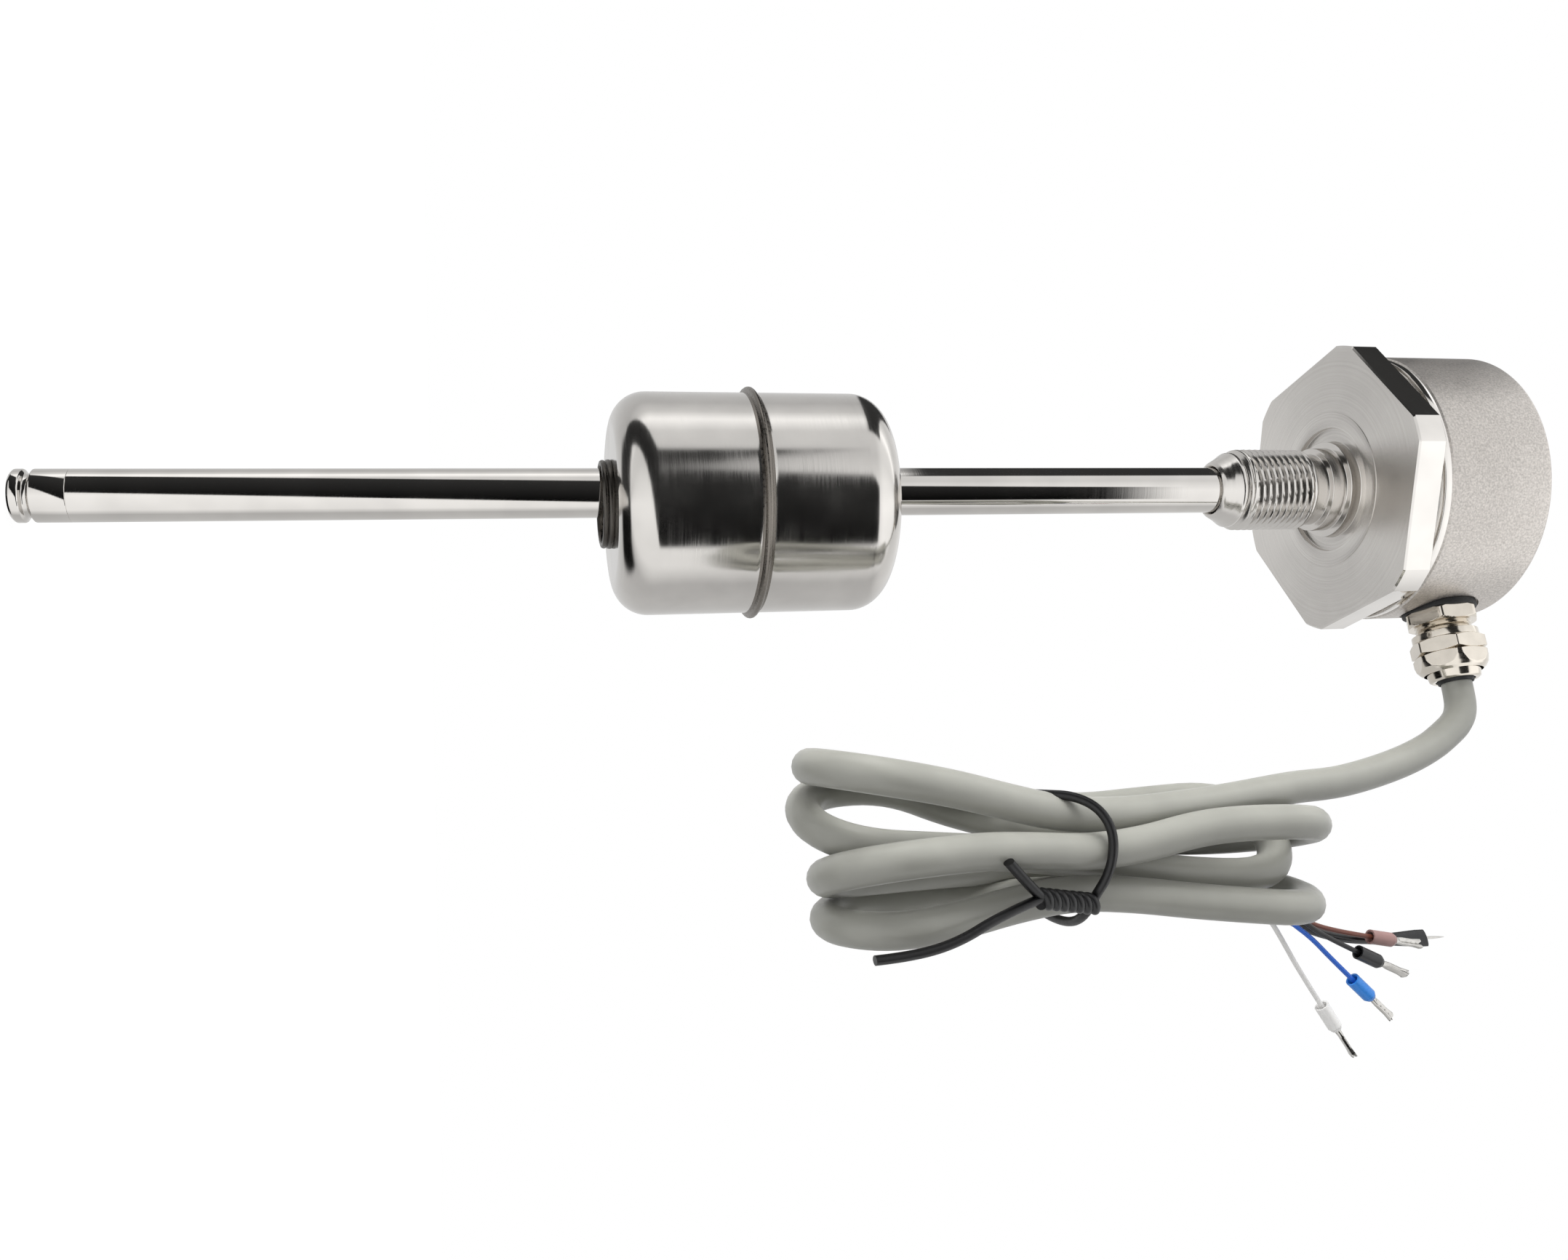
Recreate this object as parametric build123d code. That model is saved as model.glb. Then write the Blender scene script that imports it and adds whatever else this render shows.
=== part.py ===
from build123d import *
import math
import os

# Magnetostrictive level sensor, in millimetres.
# Z is the stem's axis and points up to the head. The origin is the centre of the
# sealing face under the hexagon. X is the way the cable gland points.

# clearances
fit_gap = 0.1
seat_gap = 0.3

# stem
stem_d = 10.0
stem_wall = 1.0
stem_reach = 272.5
stem_socket_top = 4.0
plug_length = 10.0
plug_spigot = 5.0
tip_disc = 2.0
ring_groove_depth = 0.85
ring_groove_floor = 0.8
ring_groove_flank = 0.5
tip_edge = 0.6

# process fitting, one turned piece
thread_d = 18.0
thread_top = -7.5
thread_bottom = -22.6
neck_d = 15.8
shoulder_d = 18.6
shoulder_depth = -4.6
boss_d = 21.6
boss_height = 1.2
o_ring_groove_d = 27.8
o_ring_groove_depth = 1.2
seal_face_d = 34.8
seal_face_step = 0.2
land_length = 1.5
notch_width = 0.9
notch_d = 15.6
nose_length = 4.6
nose_d = 12.6
nose_mid_d = 16.6
hexagon_flats = 58.5
hexagon_corner_d = 64.4
hexagon_thickness = 6.7
hexagon_edge = 0.35
collar_step = 0.2
collar_neck_step = 1.0
collar_neck_height = 0.8
collar_height = 2.5
spigot_length = 5.8
spigot_wall = 2.4

# housing
housing_d = 59.6
housing_wall = 3.0
housing_back = 2.5
housing_height = 24.8
housing_edge = 1.3
housing_mouth_chamfer = 0.4
seal_cord_d = 1.6
seal_groove_depth = 1.65
seal_groove_width = 2.0
seal_groove_above = 0.7

# float
float_d = 45.0
float_length = 56.0
float_wall = 1.0
float_shoulder = 7.0
float_rib_d = 47.4
float_rib_width = 1.3
float_bore = 15.5
float_tube_wall = 0.7
float_lip = 2.2
float_lip_ridge = 0.55
float_center = -135.0
magnet_height = 8.0
magnet_d = 25.0
carrier_wall = 0.7
carrier_floor = 1.3

# sensing element inside the stem
wire_d = 0.6
wire_sleeve_d = 2.4
return_wire_d = 0.5
return_wire_at = 2.2
damper_length = 12.0
damper_grip = 5.0
spacer_length = 4.0
spacer_count = 3
spacer_first = -60.0
spacer_pitch = 70.0

# pickup
bobbin_flange_d = 11.0
bobbin_top_flange_d = 9.0
bobbin_hub_d = 4.2
bobbin_flange = 0.9
bobbin_height = 5.6
coil_d = 8.0
bias_magnet_size = (3.0, 4.0, 4.0)
bias_magnet_at = 8.0

# electronics
board_d = 45.0
board_thickness = 1.6
board_lift = 6.8
standoff_d = 5.0
standoff_circle = 38.0
standoff_count = 3
screw_d = 2.4
screw_length = 6.0
screw_head_d = 4.4
screw_head_height = 1.6
chip_size = (8.0, 8.0, 1.4)
chip_at = (-10.0, -9.0)
capacitor_d = 6.0
capacitor_height = 7.0
capacitor_spots = ((-10.0, 6.0), (-10.0, 13.5))
connector_size = (8.0, 9.0, 8.0)
connector_end = 16.0
lead_d = 1.0
lead_pitch = 1.4
lead_count = 4
lead_entry = 2.0

# cable gland, its places measured outward along X
gland_seat_depth = 1.0
gland_seat_d = 16.4
gland_thread_d = 12.5
gland_thread_inside = 5.2
gland_flats = 14.0
gland_seal_thickness = 1.4
gland_seal_d = 15.6
gland_base_height = 3.0
gland_neck_d = 11.8
gland_neck_length = 5.0
gland_bore = 7.8
gland_socket_d = 9.6
gland_nut_gap = 2.0
gland_skirt_length = 1.6
gland_skirt_d = 13.8
gland_nut_hexagon = 3.2
gland_nut_groove = 0.35
gland_nut_length = 10.8
gland_mouth_d = 8.2
gland_dome_top_d = 9.6
gland_base_turn = 12.0
gland_nut_turn = 34.0
claw_d = 9.4
claw_length = 9.0
bush_lip = 0.6

# cable, wires and ferrules
cable_d = 6.5
cable_inner_end = 20.0
sleeve_d = 7.6
sleeve_bore = 6.4
sleeve_bore_depth = 11.0
core_d = 1.0
drain_sleeve_d = 1.9
drain_wire_d = 0.5
drain_wire_length = 4.9
ferrule_collar_d = 2.9
ferrule_collar_length = 6.0
ferrule_mouth_d = 2.2
ferrule_mouth_depth = 1.6
ferrule_pin_d = 1.3
ferrule_pin_inside = 3.4
ferrule_pin_length = 10.0
ferrule_crimp = (1.5, 0.8)
tie_d = 1.8
tie_tail_d = 2.0
tie_knot_d = 4.0

# worked out from the values above
stem_r = stem_d / 2
tip_z = -stem_reach
plug_top = tip_z + plug_length
collar_base = hexagon_thickness
deck_z = collar_base + collar_height
housing_r = housing_d / 2
cavity_r = housing_r - housing_wall
housing_top = deck_z + housing_height
collar_r = housing_r - collar_step
collar_neck_r = housing_r - collar_neck_step
gland_seat = housing_r - gland_seat_depth
gland_z = (deck_z + housing_top) / 2
board_z = deck_z + board_lift
board_top = board_z + board_thickness
float_bore_r = float_bore / 2
float_tube_r = float_bore_r + float_tube_wall
float_offset = float_bore_r - stem_r - seat_gap
gland_face = gland_seat + gland_seal_thickness
neck_start = gland_face + gland_base_height
gland_nut_start = neck_start + gland_nut_gap
gland_mouth = gland_nut_start + gland_nut_length


def turned(points):
    """Revolve an outline of (radius, height) points about Z."""
    outline = Polyline(*[(r, 0, z) for r, z in points], close=True)
    return revolve(make_face(outline), Axis.Z)


def ring(inner_d, outer_d, bottom, top):
    """A plain ring about Z."""
    return turned([(inner_d / 2, bottom), (outer_d / 2, bottom), (outer_d / 2, top), (inner_d / 2, top)])


def rod(diameter, bottom, top):
    """A plain round bar on Z."""
    return turned([(0, bottom), (diameter / 2, bottom), (diameter / 2, top), (0, top)])


def hexagon(flats, bottom, top, turn):
    """A hexagonal prism on Z. With no turn its first flat faces X."""
    outline = RegularPolygon(flats / 2, 6, major_radius=False, rotation=30 + turn)
    return Pos(0, 0, bottom) * extrude(outline, top - bottom)


def along_x(solid, height):
    """Lay a piece that was turned on Z along X, at the given height."""
    return Pos(0, 0, height) * Rot(0, 90, 0) * solid


def stem_tube():
    bore = stem_d - 2 * stem_wall
    return ring(bore, stem_d, plug_top, stem_socket_top)


def stem_end_plug():
    spigot_d = stem_d - 2 * stem_wall - 2 * fit_gap
    disc_top = tip_z + tip_disc
    floor_r = stem_r - ring_groove_depth
    floor_start = disc_top + ring_groove_flank
    floor_end = floor_start + ring_groove_floor
    return turned([
        (0, tip_z),
        (stem_r - tip_edge, tip_z),
        (stem_r, tip_z + tip_edge),
        (stem_r, disc_top),
        (floor_r, floor_start),
        (floor_r, floor_end),
        (stem_r, floor_end + ring_groove_flank),
        (stem_r, plug_top),
        (spigot_d / 2, plug_top),
        (spigot_d / 2, plug_top + plug_spigot),
        (0, plug_top + plug_spigot),
    ])


def process_fitting():
    """Weld nose, thread, neck, boss, hexagon, collar and spigot, cut from one bar."""
    socket_r = stem_r + fit_gap
    passage_r = stem_r - stem_wall
    thread_r = thread_d / 2
    land_bottom = thread_bottom - land_length
    notch_bottom = land_bottom - notch_width
    nose_bottom = notch_bottom - nose_length
    groove_r = o_ring_groove_d / 2
    spigot_r = cavity_r - fit_gap
    seal_low = deck_z + seal_groove_above
    seal_high = seal_low + seal_groove_width
    spigot_top = deck_z + spigot_length
    turned_part = turned([
        (socket_r, nose_bottom + 0.5),
        (socket_r + 0.5, nose_bottom),
        (nose_d / 2, nose_bottom + 0.6),
        (nose_mid_d / 2, notch_bottom - 0.8),
        (nose_mid_d / 2, notch_bottom),
        (notch_d / 2, notch_bottom + notch_width / 2),
        (thread_r - 0.3, land_bottom),
        (thread_r, land_bottom + 0.3),
        (thread_r, thread_top - 0.8),
        (neck_d / 2, thread_top),
        (neck_d / 2, shoulder_depth),
        (shoulder_d / 2, shoulder_depth),
        (shoulder_d / 2, -boss_height),
        (boss_d / 2, -boss_height),
        (boss_d / 2, o_ring_groove_depth),
        (groove_r, o_ring_groove_depth),
        (groove_r, 0),
        (seal_face_d / 2, 0),
        (seal_face_d / 2, seal_face_step),
        (hexagon_flats / 2 - 1, seal_face_step),
        (hexagon_flats / 2 - 1, collar_base),
        (collar_neck_r, collar_base),
        (collar_neck_r, collar_base + collar_neck_height),
        (collar_r, collar_base + collar_neck_height),
        (collar_r, deck_z),
        (spigot_r, deck_z),
        (spigot_r, seal_low),
        (spigot_r - seal_groove_depth, seal_low),
        (spigot_r - seal_groove_depth, seal_high),
        (spigot_r, seal_high),
        (spigot_r, spigot_top),
        (spigot_r - spigot_wall, spigot_top),
        (spigot_r - spigot_wall, deck_z),
        (passage_r, deck_z),
        (passage_r, stem_socket_top),
        (socket_r, stem_socket_top),
    ])
    blank = hexagon(hexagon_flats, seal_face_step, hexagon_thickness, 0)
    corners = turned([
        (socket_r + 5, seal_face_step),
        (hexagon_corner_d / 2 - hexagon_edge, seal_face_step),
        (hexagon_corner_d / 2, seal_face_step + hexagon_edge),
        (hexagon_corner_d / 2, hexagon_thickness - hexagon_edge),
        (hexagon_corner_d / 2 - hexagon_edge, hexagon_thickness),
        (socket_r + 5, hexagon_thickness),
    ])
    hollow = ring(0.2, o_ring_groove_d + 0.4, seal_face_step - 1, hexagon_thickness + 1)
    return turned_part + (blank & corners) - (hollow - turned_part)


def housing():
    """The cup: side wall, closed back, and a flat with a hole for the gland."""
    cup = turned([
        (cavity_r, deck_z),
        (housing_r - housing_mouth_chamfer, deck_z),
        (housing_r, deck_z + housing_mouth_chamfer),
        (housing_r, housing_top),
        (0, housing_top),
        (0, housing_top - housing_back),
        (cavity_r, housing_top - housing_back),
    ])
    rim = cup.edges().filter_by(GeomType.CIRCLE).sort_by(Axis.Z)[-1]
    cup = fillet(rim, housing_edge)
    flat = along_x(rod(gland_seat_d, gland_seat, housing_r + 1), gland_z)
    hole = along_x(rod(gland_thread_d + 2 * fit_gap, cavity_r - 3, housing_r + 1), gland_z)
    return cup - flat - hole


def housing_seal_ring():
    center_r = cavity_r - fit_gap - seal_groove_depth + seal_cord_d / 2
    height = deck_z + seal_groove_above + seal_groove_width / 2
    return Pos(0, 0, height) * Torus(center_r, seal_cord_d / 2)


def float_shell(side):
    """One drawn half of the float. side is 1 for the upper half and -1 for the lower."""
    outer_r = float_d / 2
    hole_r = float_tube_r + fit_gap / 2
    half = float_length / 2
    flange = float_rib_width / 2
    inner_r = outer_r - float_wall
    inner_corner = float_shoulder - float_wall
    with BuildPart() as shell:
        with BuildSketch(Plane.XZ):
            with BuildLine():
                Polyline((hole_r, half), (outer_r - float_shoulder, half))
                CenterArc((outer_r - float_shoulder, half - float_shoulder), float_shoulder, 0, 90)
                Polyline(
                    (outer_r, half - float_shoulder),
                    (outer_r, flange),
                    (float_rib_d / 2, flange),
                    (float_rib_d / 2, 0),
                    (inner_r, 0),
                    (inner_r, half - float_shoulder),
                )
                CenterArc((inner_r - inner_corner, half - float_shoulder), inner_corner, 0, 90)
                Polyline((inner_r - inner_corner, half - float_wall), (hole_r, half - float_wall), (hole_r, half))
            make_face()
        revolve(axis=Axis.Z)
    half_shell = shell.part if side > 0 else mirror(shell.part, Plane.XY)
    return Pos(float_offset, 0, float_center) * half_shell


def float_bore_tube():
    """The tube through the float. Its rolled ends stand proud of the float's faces."""
    half = float_length / 2
    end = half + float_lip
    valley = half + float_lip / 2
    ridge_r = float_tube_r + float_lip_ridge
    upper = [
        (float_tube_r, half),
        (ridge_r, half),
        (ridge_r, valley - 0.15),
        (float_tube_r + 0.1, valley),
        (ridge_r - 0.1, valley + 0.15),
        (ridge_r - 0.1, end - 0.3),
        (ridge_r - 0.4, end),
        (float_bore_r + 0.3, end),
        (float_bore_r, end - 0.3),
    ]
    lower = [(r, -z) for r, z in reversed(upper)]
    return Pos(float_offset, 0, float_center) * turned(upper + lower)


def float_magnet():
    return Pos(float_offset, 0, float_center) * ring(
        2 * float_tube_r + 2 * fit_gap, magnet_d, -magnet_height / 2, magnet_height / 2)


def float_magnet_carrier():
    """A plastic cup that holds the ring magnet on the bore tube."""
    floor_top = -magnet_height / 2 - fit_gap / 2
    floor_bottom = floor_top - carrier_floor
    wall_in = magnet_d / 2 + fit_gap
    wall_out = wall_in + carrier_wall
    inner = float_tube_r + fit_gap / 2
    cup = turned([
        (inner, floor_bottom),
        (wall_out, floor_bottom),
        (wall_out, magnet_height / 2),
        (wall_in, magnet_height / 2),
        (wall_in, floor_top),
        (inner, floor_top),
    ])
    return Pos(float_offset, 0, float_center) * cup


def damper_top():
    return plug_top + plug_spigot + damper_length


def waveguide_wire():
    return rod(wire_d, damper_top() - damper_grip, board_top + 0.6)


def waveguide_sleeve():
    return ring(wire_d + 2 * fit_gap, wire_sleeve_d, damper_top() + fit_gap, deck_z - 1)


def return_wire():
    return Pos(return_wire_at, 0, 0) * rod(return_wire_d, damper_top() + fit_gap, deck_z - 1)


def tip_damper():
    """A soft plug that stops the sound wave at the wire's lower end."""
    damper_d = stem_d - 2 * stem_wall - 2 * fit_gap
    bottom = plug_top + plug_spigot
    body = rod(damper_d, bottom, damper_top())
    return body - rod(wire_d + 2 * fit_gap, damper_top() - damper_grip - fit_gap, damper_top() + 1)


def stem_spacers():
    outer_d = stem_d - 2 * stem_wall - 2 * fit_gap
    spacers = []
    for index in range(spacer_count):
        middle = spacer_first - index * spacer_pitch
        low = middle - spacer_length / 2
        high = middle + spacer_length / 2
        spacer = ring(wire_sleeve_d + 2 * fit_gap, outer_d, low, high)
        notch = Pos(return_wire_at, 0, 0) * rod(return_wire_d + 2 * fit_gap, low - 1, high + 1)
        spacers.append(spacer - notch)
    return Compound(children=spacers)


def coil_bobbin():
    top = deck_z + bobbin_height
    hub_r = bobbin_hub_d / 2
    return turned([
        (wire_d / 2 + fit_gap, deck_z),
        (bobbin_flange_d / 2, deck_z),
        (bobbin_flange_d / 2, deck_z + bobbin_flange),
        (hub_r, deck_z + bobbin_flange),
        (hub_r, top - bobbin_flange),
        (bobbin_top_flange_d / 2, top - bobbin_flange),
        (bobbin_top_flange_d / 2, top),
        (wire_d / 2 + fit_gap, top),
    ])


def pickup_coil():
    low = deck_z + bobbin_flange + fit_gap / 2
    high = deck_z + bobbin_height - bobbin_flange - fit_gap / 2
    return ring(bobbin_hub_d + fit_gap, coil_d, low, high)


def bias_magnet():
    length, width, height = bias_magnet_size
    return Pos(bias_magnet_at, 0, deck_z + height / 2) * Box(length, width, height)


def standoff_places():
    step = 360 / standoff_count
    return [
        (standoff_circle / 2 * math.cos(math.radians(60 + step * i)),
         standoff_circle / 2 * math.sin(math.radians(60 + step * i)))
        for i in range(standoff_count)
    ]


def circuit_board():
    board = rod(board_d, board_z, board_top)
    board -= rod(wire_d + 4 * fit_gap, board_z - 1, board_top + 1)
    for x, y in standoff_places():
        board -= Pos(x, y, 0) * rod(screw_d + 2 * fit_gap, board_z - 1, board_top + 1)
    return board


def board_standoffs():
    hole_bottom = board_top - screw_length - 0.5
    posts = []
    for x, y in standoff_places():
        post = rod(standoff_d, deck_z, board_z) - rod(screw_d + fit_gap, hole_bottom, board_z + 1)
        posts.append(Pos(x, y, 0) * post)
    return Compound(children=posts)


def board_screws():
    screws = []
    for x, y in standoff_places():
        shank = rod(screw_d, board_top - screw_length, board_top)
        head = rod(screw_head_d, board_top, board_top + screw_head_height)
        slot = Pos(0, 0, board_top + screw_head_height) * Box(screw_head_d + 1, 0.6, 1.2)
        screws.append(Pos(x, y, 0) * (shank + head - slot))
    return Compound(children=screws)


def board_chip():
    length, width, height = chip_size
    return Pos(chip_at[0], chip_at[1], board_top + height / 2) * Box(length, width, height)


def board_capacitors():
    cans = [Pos(x, y, 0) * rod(capacitor_d, board_top, board_top + capacitor_height) for x, y in capacitor_spots]
    return Compound(children=cans)


def lead_places():
    return [(i - (lead_count - 1) / 2) * lead_pitch for i in range(lead_count)]


def cable_connector():
    """The plug on the board that takes the cable's four cores."""
    length, width, height = connector_size
    body = Pos(connector_end - length / 2, 0, board_top + height / 2) * Box(length, width, height)
    for y in lead_places():
        hole = along_x(rod(lead_d + fit_gap, connector_end - lead_entry, connector_end + 1), gland_z)
        body -= Pos(0, y, 0) * hole
    return body


def inner_leads():
    """The four cores between the cable's inner end and the plug, laid flat."""
    start = connector_end - lead_entry + fit_gap
    leads = [Pos(0, y, 0) * along_x(rod(lead_d, start, cable_inner_end), gland_z) for y in lead_places()]
    return Compound(children=leads)


def gland_body():
    """Base hexagon, the thread in the wall and the split neck that holds the claw."""
    thread_r = gland_thread_d / 2
    inside = gland_face - gland_seal_thickness - gland_thread_inside
    neck_end = neck_start + gland_neck_length
    core = turned([
        (gland_bore / 2, inside),
        (thread_r - 0.5, inside),
        (thread_r, inside + 0.5),
        (thread_r, gland_face),
        (gland_flats / 2 - 0.5, gland_face),
        (gland_flats / 2 - 0.5, neck_start),
        (gland_neck_d / 2, neck_start),
        (gland_neck_d / 2, neck_end),
        (gland_socket_d / 2, neck_end),
        (gland_socket_d / 2, gland_face + 1),
        (gland_bore / 2, gland_face + 1),
    ])
    corner_d = gland_flats / math.cos(math.pi / 6) - 0.4
    blank = hexagon(gland_flats, gland_face, neck_start, gland_base_turn) & rod(corner_d, gland_face, neck_start)
    blank -= rod(gland_flats - 1.2, gland_face - 1, neck_start + 1)
    return along_x(core + blank, gland_z)


def gland_seal():
    return along_x(ring(gland_thread_d + 2 * fit_gap, gland_seal_d, gland_seat, gland_face), gland_z)


def gland_claw():
    """The plastic ring of fingers that the dome squeezes round the bush."""
    start = gland_face + 1 + fit_gap
    end = start + claw_length
    inner = bush_outer_d() / 2 + fit_gap / 2
    claw = turned([
        (inner, start),
        (claw_d / 2, start),
        (claw_d / 2, end - 1.6),
        (inner + 0.5, end),
        (inner, end),
    ])
    slot_length = claw_length - 3
    for turn in range(0, 180, 45):
        slot = Pos(0, 0, end - slot_length / 2) * Rot(0, 0, turn) * Box(claw_d + 1, 0.5, slot_length + 0.2)
        claw -= slot
    return along_x(claw, gland_z)


def bush_outer_d():
    return cable_d + 2 * fit_gap + 1.0


def gland_bush():
    """The rubber bush on the cable. Its lip shows in the dome's mouth."""
    start = gland_face + 1 + fit_gap
    outer_r = bush_outer_d() / 2
    inner_r = cable_d / 2 + fit_gap
    return along_x(turned([
        (inner_r, start),
        (outer_r, start),
        (outer_r, gland_mouth),
        (outer_r - 0.2, gland_mouth + bush_lip),
        (inner_r, gland_mouth + bush_lip),
    ]), gland_z)


def gland_dome_nut():
    """Skirt, hexagon and dome. The flats run out on the dome in scallops."""
    corner_r = gland_flats / math.cos(math.pi / 6) / 2
    skirt_end = gland_nut_start + gland_skirt_length
    groove_at = skirt_end + gland_nut_hexagon
    flats_r = gland_flats / 2
    body = turned([
        (gland_neck_d / 2 + fit_gap, gland_nut_start),
        (gland_skirt_d / 2, gland_nut_start),
        (gland_skirt_d / 2, skirt_end),
        (flats_r, skirt_end),
        (corner_r - 0.1, skirt_end + 0.55),
        (corner_r - 0.1, groove_at - 0.4),
        (flats_r - 0.1, groove_at),
        (corner_r - 0.3, groove_at + gland_nut_groove),
        (corner_r - 0.35, groove_at + 1.6),
        (flats_r + 0.35, groove_at + 2.9),
        (flats_r - 0.9, groove_at + 4.2),
        (gland_dome_top_d / 2 + 0.5, gland_mouth - 0.35),
        (gland_dome_top_d / 2, gland_mouth),
        (gland_mouth_d / 2, gland_mouth),
        (gland_mouth_d / 2, gland_mouth - 1),
        (claw_d / 2 + fit_gap, gland_mouth - 5.2),
        (claw_d / 2 + fit_gap, neck_start + gland_neck_length + fit_gap),
        (gland_neck_d / 2 + fit_gap, neck_start + gland_neck_length + fit_gap),
    ])
    flats = hexagon(gland_flats, skirt_end, gland_mouth + 1, gland_nut_turn)
    skirt = rod(gland_skirt_d, gland_nut_start - 1, skirt_end)
    return along_x(body & (flats + skirt), gland_z)


def cable_tail():
    """The cable's stripped end inside the head, up to the gland's mouth."""
    return along_x(rod(cable_d, cable_inner_end, gland_mouth), gland_z)


# The cable leaves the gland along X, bends down and runs into a tied hank that hangs
# beside the stem. The hank has a frame of its own: x points away from the stem, y to
# the back and z up along the hank, which leans a little.
hank_frame = Plane(origin=(81.5, -18.5, -81.5), x_dir=(0.954, 0.300, -0.030), z_dir=(0, 0.10, 0.995))
hank_top = 55.0
lead_spot = (-11.4, 3.4)
lead_straight = 8.5
lead_end = hank_frame.from_local_coords(Vector(*lead_spot, hank_top))
lead_last = hank_frame.from_local_coords(Vector(*lead_spot, hank_top + lead_straight))
lead_route = [
    (gland_mouth, 0, gland_z),
    (gland_mouth + 4.5, 0, gland_z),
    (gland_mouth + 9.4, -0.3, gland_z - 0.9),
    (gland_mouth + 13.9, -0.9, 18.7),
    (63.8, -1.8, 15.9),
    (67.0, -2.9, 12.3),
    (69.3, -4.3, 8.1),
    (70.5, -5.7, 3.5),
    (70.7, -8.2, -5.4),
    (lead_last.X, lead_last.Y, lead_last.Z),
    (lead_end.X, lead_end.Y, lead_end.Z),
]

# Sections of the hank: height, middle across and in depth, half width, half depth and
# corner radius.
hank_sections = [
    (-57.6, -5.0, 1.0, 11.0, 10.0, 8.0),
    (-50.0, -4.6, 1.4, 16.2, 17.0, 12.0),
    (-38.0, -4.0, 1.2, 15.4, 18.2, 12.0),
    (-22.0, -2.8, 0.4, 12.6, 15.4, 10.0),
    (-4.0, -1.6, 0.0, 10.4, 13.4, 8.0),
    (12.0, -1.0, 0.0, 11.0, 13.6, 8.0),
    (30.0, -1.2, 0.4, 12.6, 15.4, 10.0),
    (44.0, -1.4, 0.4, 12.8, 15.0, 10.0),
    (hank_top, -3.0, 1.0, 12.6, 9.6, 8.0),
]
sleeve_start = Vector(6.8, 3.4, 12.0)
sleeve_end = Vector(8.6, 3.8, 38.0)

# Routes in the hank's frame, from inside the end sleeve to the back of each ferrule.
core_routes = {
    "white": [(9.5, 4.3, 27.5), (10.1, 4.4, 35.0), (11.7, 4.2, 40.4), (14.9, 4.0, 44.2),
              (19.0, 3.7, 46.8), (25.6, 3.4, 50.8), (32.6, 3.0, 55.7)],
    "blue": [(8.5, 2.3, 27.5), (9.2, 2.4, 36.0), (11.2, 2.5, 42.6), (15.4, 2.6, 48.0),
             (18.8, 2.7, 53.0), (23.4, 2.6, 57.8), (27.8, 2.5, 62.8)],
    "black": [(6.8, 2.5, 27.5), (7.5, 2.5, 36.0), (10.2, 1.9, 44.0), (15.4, 1.9, 50.6),
              (19.0, 2.0, 56.4), (22.2, 1.8, 63.5)],
    "brown": [(6.2, 4.4, 27.5), (7.0, 4.5, 36.0), (10.8, 4.5, 44.6), (15.8, 4.3, 52.4),
              (18.4, 4.1, 60.4), (19.9, 4.0, 68.4)],
}
drain_route = [(7.8, 5.6, 27.5), (8.3, 5.6, 36.0), (12.2, 6.2, 44.6), (17.2, 6.8, 53.0),
               (20.3, 6.9, 62.0), (21.6, 6.9, 72.5), (21.9, 6.9, 85.2)]
tie_ring_at = -4.0
tie_tail_route = [(5.0, -16.0, -12.5), (7.0, -17.2, -20.5), (11.2, -18.0, -29.5), (13.5, -17.6, -38.0),
                  (13.9, -17.2, -46.5)]
tie_stub_route = [(5.2, -16.0, -12.2), (3.4, -17.4, -16.5), (-1.4, -18.6, -21.5)]
tie_knot_ends = (Vector(7.2, -13.6, -1.5), Vector(5.0, -16.0, -12.5))


def tube_along(points, diameter, name):
    """A round tube on straight runs joined by tangent arcs. It prints the arcs' radii."""
    corners = [Vector(*p) for p in points]
    runs = [b - a for a, b in zip(corners, corners[1:])]
    radii = []
    for before, after in zip(runs, runs[1:]):
        half_turn = math.radians(before.get_angle(after) / 2)
        radii.append(0.45 * min(before.length, after.length) / math.tan(half_turn))
    path = FilletPolyline(*corners, radius=radii)
    profile = Plane(origin=corners[0], z_dir=runs[0]) * Circle(diameter / 2)
    tube = sweep(profile, path)
    expected = math.pi * diameter ** 2 / 4 * path.length
    print(name, "length", round(path.length, 1), "volume share", round(tube.volume / expected, 4),
          "radii in diameters", [round(r / diameter, 1) for r in radii])
    return tube


def in_hank(points):
    return [hank_frame.from_local_coords(Vector(*p)) for p in points]


def cable_lead():
    return tube_along(lead_route, cable_d, "cable_lead")


def cable_hank():
    """The outer shape of the tied hank, narrow at its tie, with a groove for the end sleeve."""
    sections = []
    for height, across, depth, half_width, half_depth, corner in hank_sections:
        outline = RectangleRounded(2 * half_width, 2 * half_depth, corner)
        sections.append(Pos(across, depth, height) * outline)
    body = loft(sections)
    axis = sleeve_end - sleeve_start
    groove = SlotCenterPoint((hank_top / 2, 0), (0, 0), sleeve_d + 2 * seat_gap)
    start = sleeve_start - axis.normalized() * seat_gap
    channel = extrude(Plane(origin=start, x_dir=(1, 0, 0), z_dir=axis) * groove, hank_top)
    return hank_frame.location * (body - channel)


def cable_end_sleeve():
    """Black shrink sleeve on the cable's outer end. The cores come out of its mouth."""
    axis = sleeve_end - sleeve_start
    length = axis.length
    sleeve = rod(sleeve_d, 0, length) - rod(sleeve_bore, length - sleeve_bore_depth, length + 1)
    return hank_frame.location * (Plane(origin=sleeve_start, z_dir=axis) * sleeve)


def core_end(color):
    """Where a core enters its ferrule, and the way it points there."""
    route = in_hank(core_routes[color])
    way = (route[-1] - route[-2]).normalized()
    return route[-1], way


def core_wire(color):
    route = in_hank(core_routes[color])
    entry, way = core_end(color)
    depth = ferrule_collar_length - ferrule_pin_inside - fit_gap
    return tube_along(route[:-1] + [entry + way * depth], core_d, "wire_" + color)


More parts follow.
